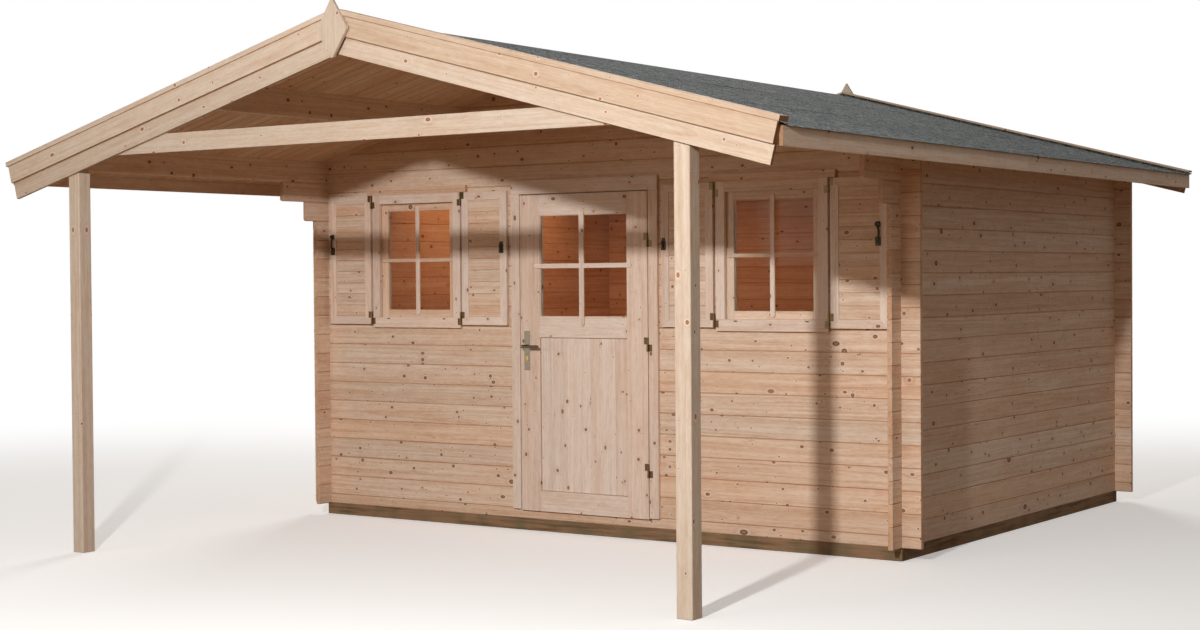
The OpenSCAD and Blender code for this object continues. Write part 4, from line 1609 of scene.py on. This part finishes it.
@dataclass
class Shutters:
    """Four ledged shutters with mitred frames, horizontal boards, hooks and catches."""

    frame_w: float = 0.050
    recess: float = 0.004
    boards: int = 10
    joint: float = 0.0004
    board_edge: float = 0.0028
    edge: float = 0.0016
    sunk: float = 0.0005
    hook_at: float = 0.625
    hook_bar: float = 0.0062
    hook_out: float = 0.012
    hook_bow: float = 0.007
    hook_top: float = 0.040
    hook_l: float = 0.078
    hook_tip: float = 0.054
    eye_bar: float = 0.0044
    eye_up: float = 0.048
    eye_out: float = 0.010
    eye_w: float = 0.013
    eye_h: float = 0.010
    eye_lean: float = 0.003
    catch_at: float = 0.580
    catch_w: float = 0.034
    catch_corner: float = 0.004
    knob: float = 0.0052

    def build(self) -> list[Object]:
        """Makes the shutters and their fittings.

        Returns:
            The pieces.
        """
        bronze = BRONZE.material()
        pieces: list[Object] = []
        for number in range(1, 5):
            body = f"shutter_{number}"
            pieces += [self.shutter(body, 70 + number), self.infill(body, 80 + number),
                       dress(f"{body}_hinges", bronze)]
        iron = IRON.material()
        return pieces + [dress("shutter_hinge_pins", bronze),
                         self.hook("shutter_1", 0.026, iron), self.hook("shutter_4", 0.056, iron),
                         self.catch("shutter_2", 0.038, iron), self.catch("shutter_3", 0.017, iron)]

    def shutter(self, body: str, seed: int) -> Object:
        """Makes one shutter's mitred frame.

        Args:
            body: The shutter.
            seed: What its tones are drawn by.

        Returns:
            The piece.
        """
        low, high = box(body)
        work = Timberwork(f"{body}_panel", body=body, replaces=(body,), seed=seed)
        spans = ((low.x, high.x), (low.z, high.z))
        outer, inner = [[Vector((x[i], low.y, z[j])) for i, j in ((0, 0), (1, 0), (1, 1), (0, 1))]
                        for x, z in (spans, grow(spans, -self.frame_w))]
        for index in range(4):
            after = (index + 1) % 4
            grain, across = (RIGHT, UP) if index % 2 == 0 else (UP, RIGHT)
            work.member([outer[index], outer[after], inner[after], inner[index]],
                        BACK * (high.y - low.y), grain, across, self.edge)
        return work.build(JOINERY.material(Carried(), f"_{body}"))

    def infill(self, body: str, seed: int) -> Object:
        """Makes the boards inside a shutter's frame, with a V at every joint.

        Args:
            body: The shutter.
            seed: What its tones are drawn by.

        Returns:
            The piece.
        """
        low, high = box(body)
        f = self.frame_w
        work = Timberwork(f"{body}_boards", body=body, seed=seed)
        pitch = (high.z - low.z - 2 * f) / self.boards
        for index in range(self.boards):
            z = low.z + f + index * pitch
            work.board((low.x + f, high.x - f), (low.y + self.recess, high.y - self.recess),
                       (z + self.joint, z + pitch - self.joint), Axis.X, self.board_edge)
        return work.build(LOGS.material(Carried(), f"_{body}_boards"))

    def hook(self, body: str, inset: float, finish: Material) -> Object:
        """Makes the storm hook on the free stile of an outer shutter: plate, bent bar and eye.

        Args:
            body: The shutter.
            inset: Way of the hook's middle from the free edge.
            finish: The hook's material.

        Returns:
            The piece.
        """
        low, high = box(body)
        side = -1 if low.x < 0 else 1
        x = (low.x if side < 0 else high.x) - side * inset
        y, z = low.y, low.z + (high.z - low.z) * self.hook_at
        work = Metalwork(f"{body}_hook", "bronze", body)
        eye = Vector((x, y - self.eye_out, z + self.eye_up))
        turns = [2 * math.pi * k / 12 for k in range(13)]
        work.rod([eye + Vector((self.eye_w * math.sin(t), -self.eye_lean * math.cos(t), self.eye_h * math.cos(t)))
                  for t in turns], self.eye_bar)
        bend = [Vector((x + side * self.hook_bow * math.sin(math.pi * k / 8), y - self.hook_out,
                        z + self.hook_top - self.hook_l * k / 8)) for k in range(9)]
        work.rod([*bend, Vector((x, y - self.eye_out, z - self.hook_tip))], self.hook_bar)
        for half, out, foot, top, corner in ((0.012, 0.006, 0.034, 0.064, 0.005),
                                             (0.015, 0.010, -0.066, -0.018, 0.006)):
            work.plate((x - half, x + half), (y - out, y + self.sunk), (z + foot, z + top), corner)
        return work.build(finish)

    def catch(self, body: str, inset: float, finish: Material) -> Object:
        """Makes the catch on the free stile of an inner shutter: a plate with a turned knob.

        Args:
            body: The shutter.
            inset: Way of the catch's middle from the free edge.
            finish: The catch's material.

        Returns:
            The piece.
        """
        low, high = box(body)
        x = high.x - inset if low.x < 0 else low.x + inset
        y, z = low.y, low.z + (high.z - low.z) * self.catch_at
        work = Metalwork(f"{body}_catch", "bronze", body)
        half = min(self.catch_w / 2, inset - 0.001)
        for left, right, out, foot, top in ((1.0, 1.0, 0.004, -0.034, 0.020), (0.5, 0.7, 0.008, 0.006, 0.036)):
            work.plate((x - half * left, x + half * right), (y - out, y + self.sunk), (z + foot, z + top),
                       self.catch_corner)
        work.rod([Vector((x, y - out, z + rise)) for out, rise in
                  ((0.003, -0.022), (0.012, -0.018), (0.013, 0.0), (0.012, 0.014), (0.003, 0.018))], self.knob)
        return work.build(finish)


# ---------------------------------------------------------------- studio


@dataclass
class Studio:
    """Pale floor, soft lamps, plain surroundings and the camera."""

    reach: float = 45.0
    sky: float = 0.27
    target: Triple = (0.0, -0.5, 1.2)
    key: Triple = (3.17, -8.37, 3.70)
    fill: Triple = (-4.0, -15.0, 4.6)
    back: Triple = (-7.0, 12.0, 7.0)
    room_aside: float = -1.25
    room_z: float = 2.15
    eye: Triple = (6.5670, -9.8985, 1.5113)
    yaw: float = 0.6064
    tilt: float = -0.0193
    roll: float = -0.0076
    lens: float = 58.3

    def build(self) -> None:
        """Sets up everything round the house."""
        self.floor()
        self.surroundings()
        self.lamps()
        self.camera()
        bpy.context.scene.view_settings.view_transform = "Standard"

    def floor(self) -> None:
        """Lays the floor, which fades into the white surroundings and keeps the shadow."""
        mesh = bpy.data.meshes.new("studio_floor")
        corners = [(self.reach * i, self.reach * j, -0.001) for i, j in ((-1, -1), (1, -1), (1, 1), (-1, 1))]
        mesh.from_pydata(corners, [], [(0, 1, 2, 3)])
        floor = bpy.data.objects.new("studio_floor", mesh)
        bpy.context.scene.collection.objects.link(floor)
        g = paint("studio_floor")
        x, y, _ = g.split(g.spot())
        fade = g.span(g.length(x, y), 5.0, 11.0)
        seen = self.seen(g)
        tone = g.mix(seen, (0.30, 0.19, 0.11), (0.86, 0.86, 0.86))
        pale = g.node("BsdfDiffuse", {"Color": tone})
        glow = g.node("Emission", {"Color": WHITE, "Strength": g.times(seen, 0.30)})
        near = g.node("AddShader", {0: pale.outputs[0], 1: glow.outputs[0]})
        white = g.node("Emission", {"Color": WHITE, "Strength": 1.0})
        mesh.materials.append(g.close(g.node("MixShader", {0: g.times(fade, seen), 1: near.outputs[0],
                                                           2: white.outputs[0]})))

    @staticmethod
    def seen(g: Graph) -> NodeSocket:
        """Whether a ray comes from the camera, a reflection or through glass.

        Args:
            g: The shader's nodes.

        Returns:
            1 for such a ray and 0 for any other.
        """
        path = g.node("LightPath").outputs
        direct = g.math("MAXIMUM", path["Is Camera Ray"], path["Is Glossy Ray"])
        return g.math("MAXIMUM", direct, path["Is Transmission Ray"])

    def surroundings(self) -> None:
        """Plain white surroundings that light softly and look white."""
        world = bpy.data.worlds.new("studio")
        bpy.context.scene.world = world
        g = Graph(world, "ShaderNodeOutputWorld")
        soft = g.node("Background", {"Color": (1.0, 0.92, 0.84), "Strength": self.sky})
        white = g.node("Background", {"Color": WHITE, "Strength": 1.0})
        g.close(g.node("MixShader", {0: self.seen(g), 1: soft.outputs[0], 2: white.outputs[0]}))

    def lamps(self) -> None:
        """Key and fill from the front, a lamp from the back and a small warm one inside the room."""
        x, y = mid("floor_boards", Axis.X) + self.room_aside, mid("floor_boards", Axis.Y)
        for name, where, target, power, size, colour in (
                ("key_lamp", self.key, self.target, 395.0, 0.20, (1.0, 0.985, 0.965)),
                ("fill_lamp", self.fill, self.target, 270.0, 6.0, (1.0, 0.93, 0.84)),
                ("back_lamp", self.back, self.target, 900.0, 5.0, (1.0, 0.985, 0.97)),
                ("room_lamp", (x, y, self.room_z), (x, y, 0.0), 14.0, 1.8, (1.0, 0.40, 0.15))):
            data = bpy.data.lights.new(name, "AREA")
            data.energy, data.size, data.color = power, size, colour
            lamp = bpy.data.objects.new(name, data)
            lamp.location = where
            lamp.rotation_euler = (Vector(target) - Vector(where)).to_track_quat("-Z", "Y").to_euler()
            bpy.context.scene.collection.objects.link(lamp)

    def camera(self) -> None:
        """Sets the camera."""
        level = math.cos(self.tilt)
        ahead = Vector((-math.sin(self.yaw) * level, math.cos(self.yaw) * level, math.sin(self.tilt)))
        right = Vector((math.cos(self.yaw), math.sin(self.yaw), 0.0))
        up = right.cross(ahead)
        c, s = math.cos(self.roll), math.sin(self.roll)
        right, up = c * right + s * up, c * up - s * right
        data = bpy.data.cameras.new("camera")
        data.sensor_fit = "HORIZONTAL"
        data.sensor_width, data.lens, data.clip_end = 36.0, self.lens, 200.0
        camera = bpy.data.objects.new("camera", data)
        turn = Matrix((right, up, -ahead)).transposed()
        camera.matrix_world = Matrix.LocRotScale(Vector(self.eye), turn, None)
        bpy.context.scene.collection.objects.link(camera)
        bpy.context.scene.camera = camera


def main() -> None:
    """Builds every part of the house in order, then the studio."""
    logging.basicConfig(level=logging.INFO, format="%(name)s: %(message)s")
    parts = (Sleepers(), FloorDeck(), LogWalls(), RoofTimbers(), RoofBoards(), RoofCover(), RoofTrim(),
             DoorFrame(), Door(), Windows(), Shutters())
    for part in parts:
        for piece in part.build():
            LOG.info("%s: %s", type(part).__name__, piece.name)
    Studio().build()


if __name__ == "__main__":
    main()
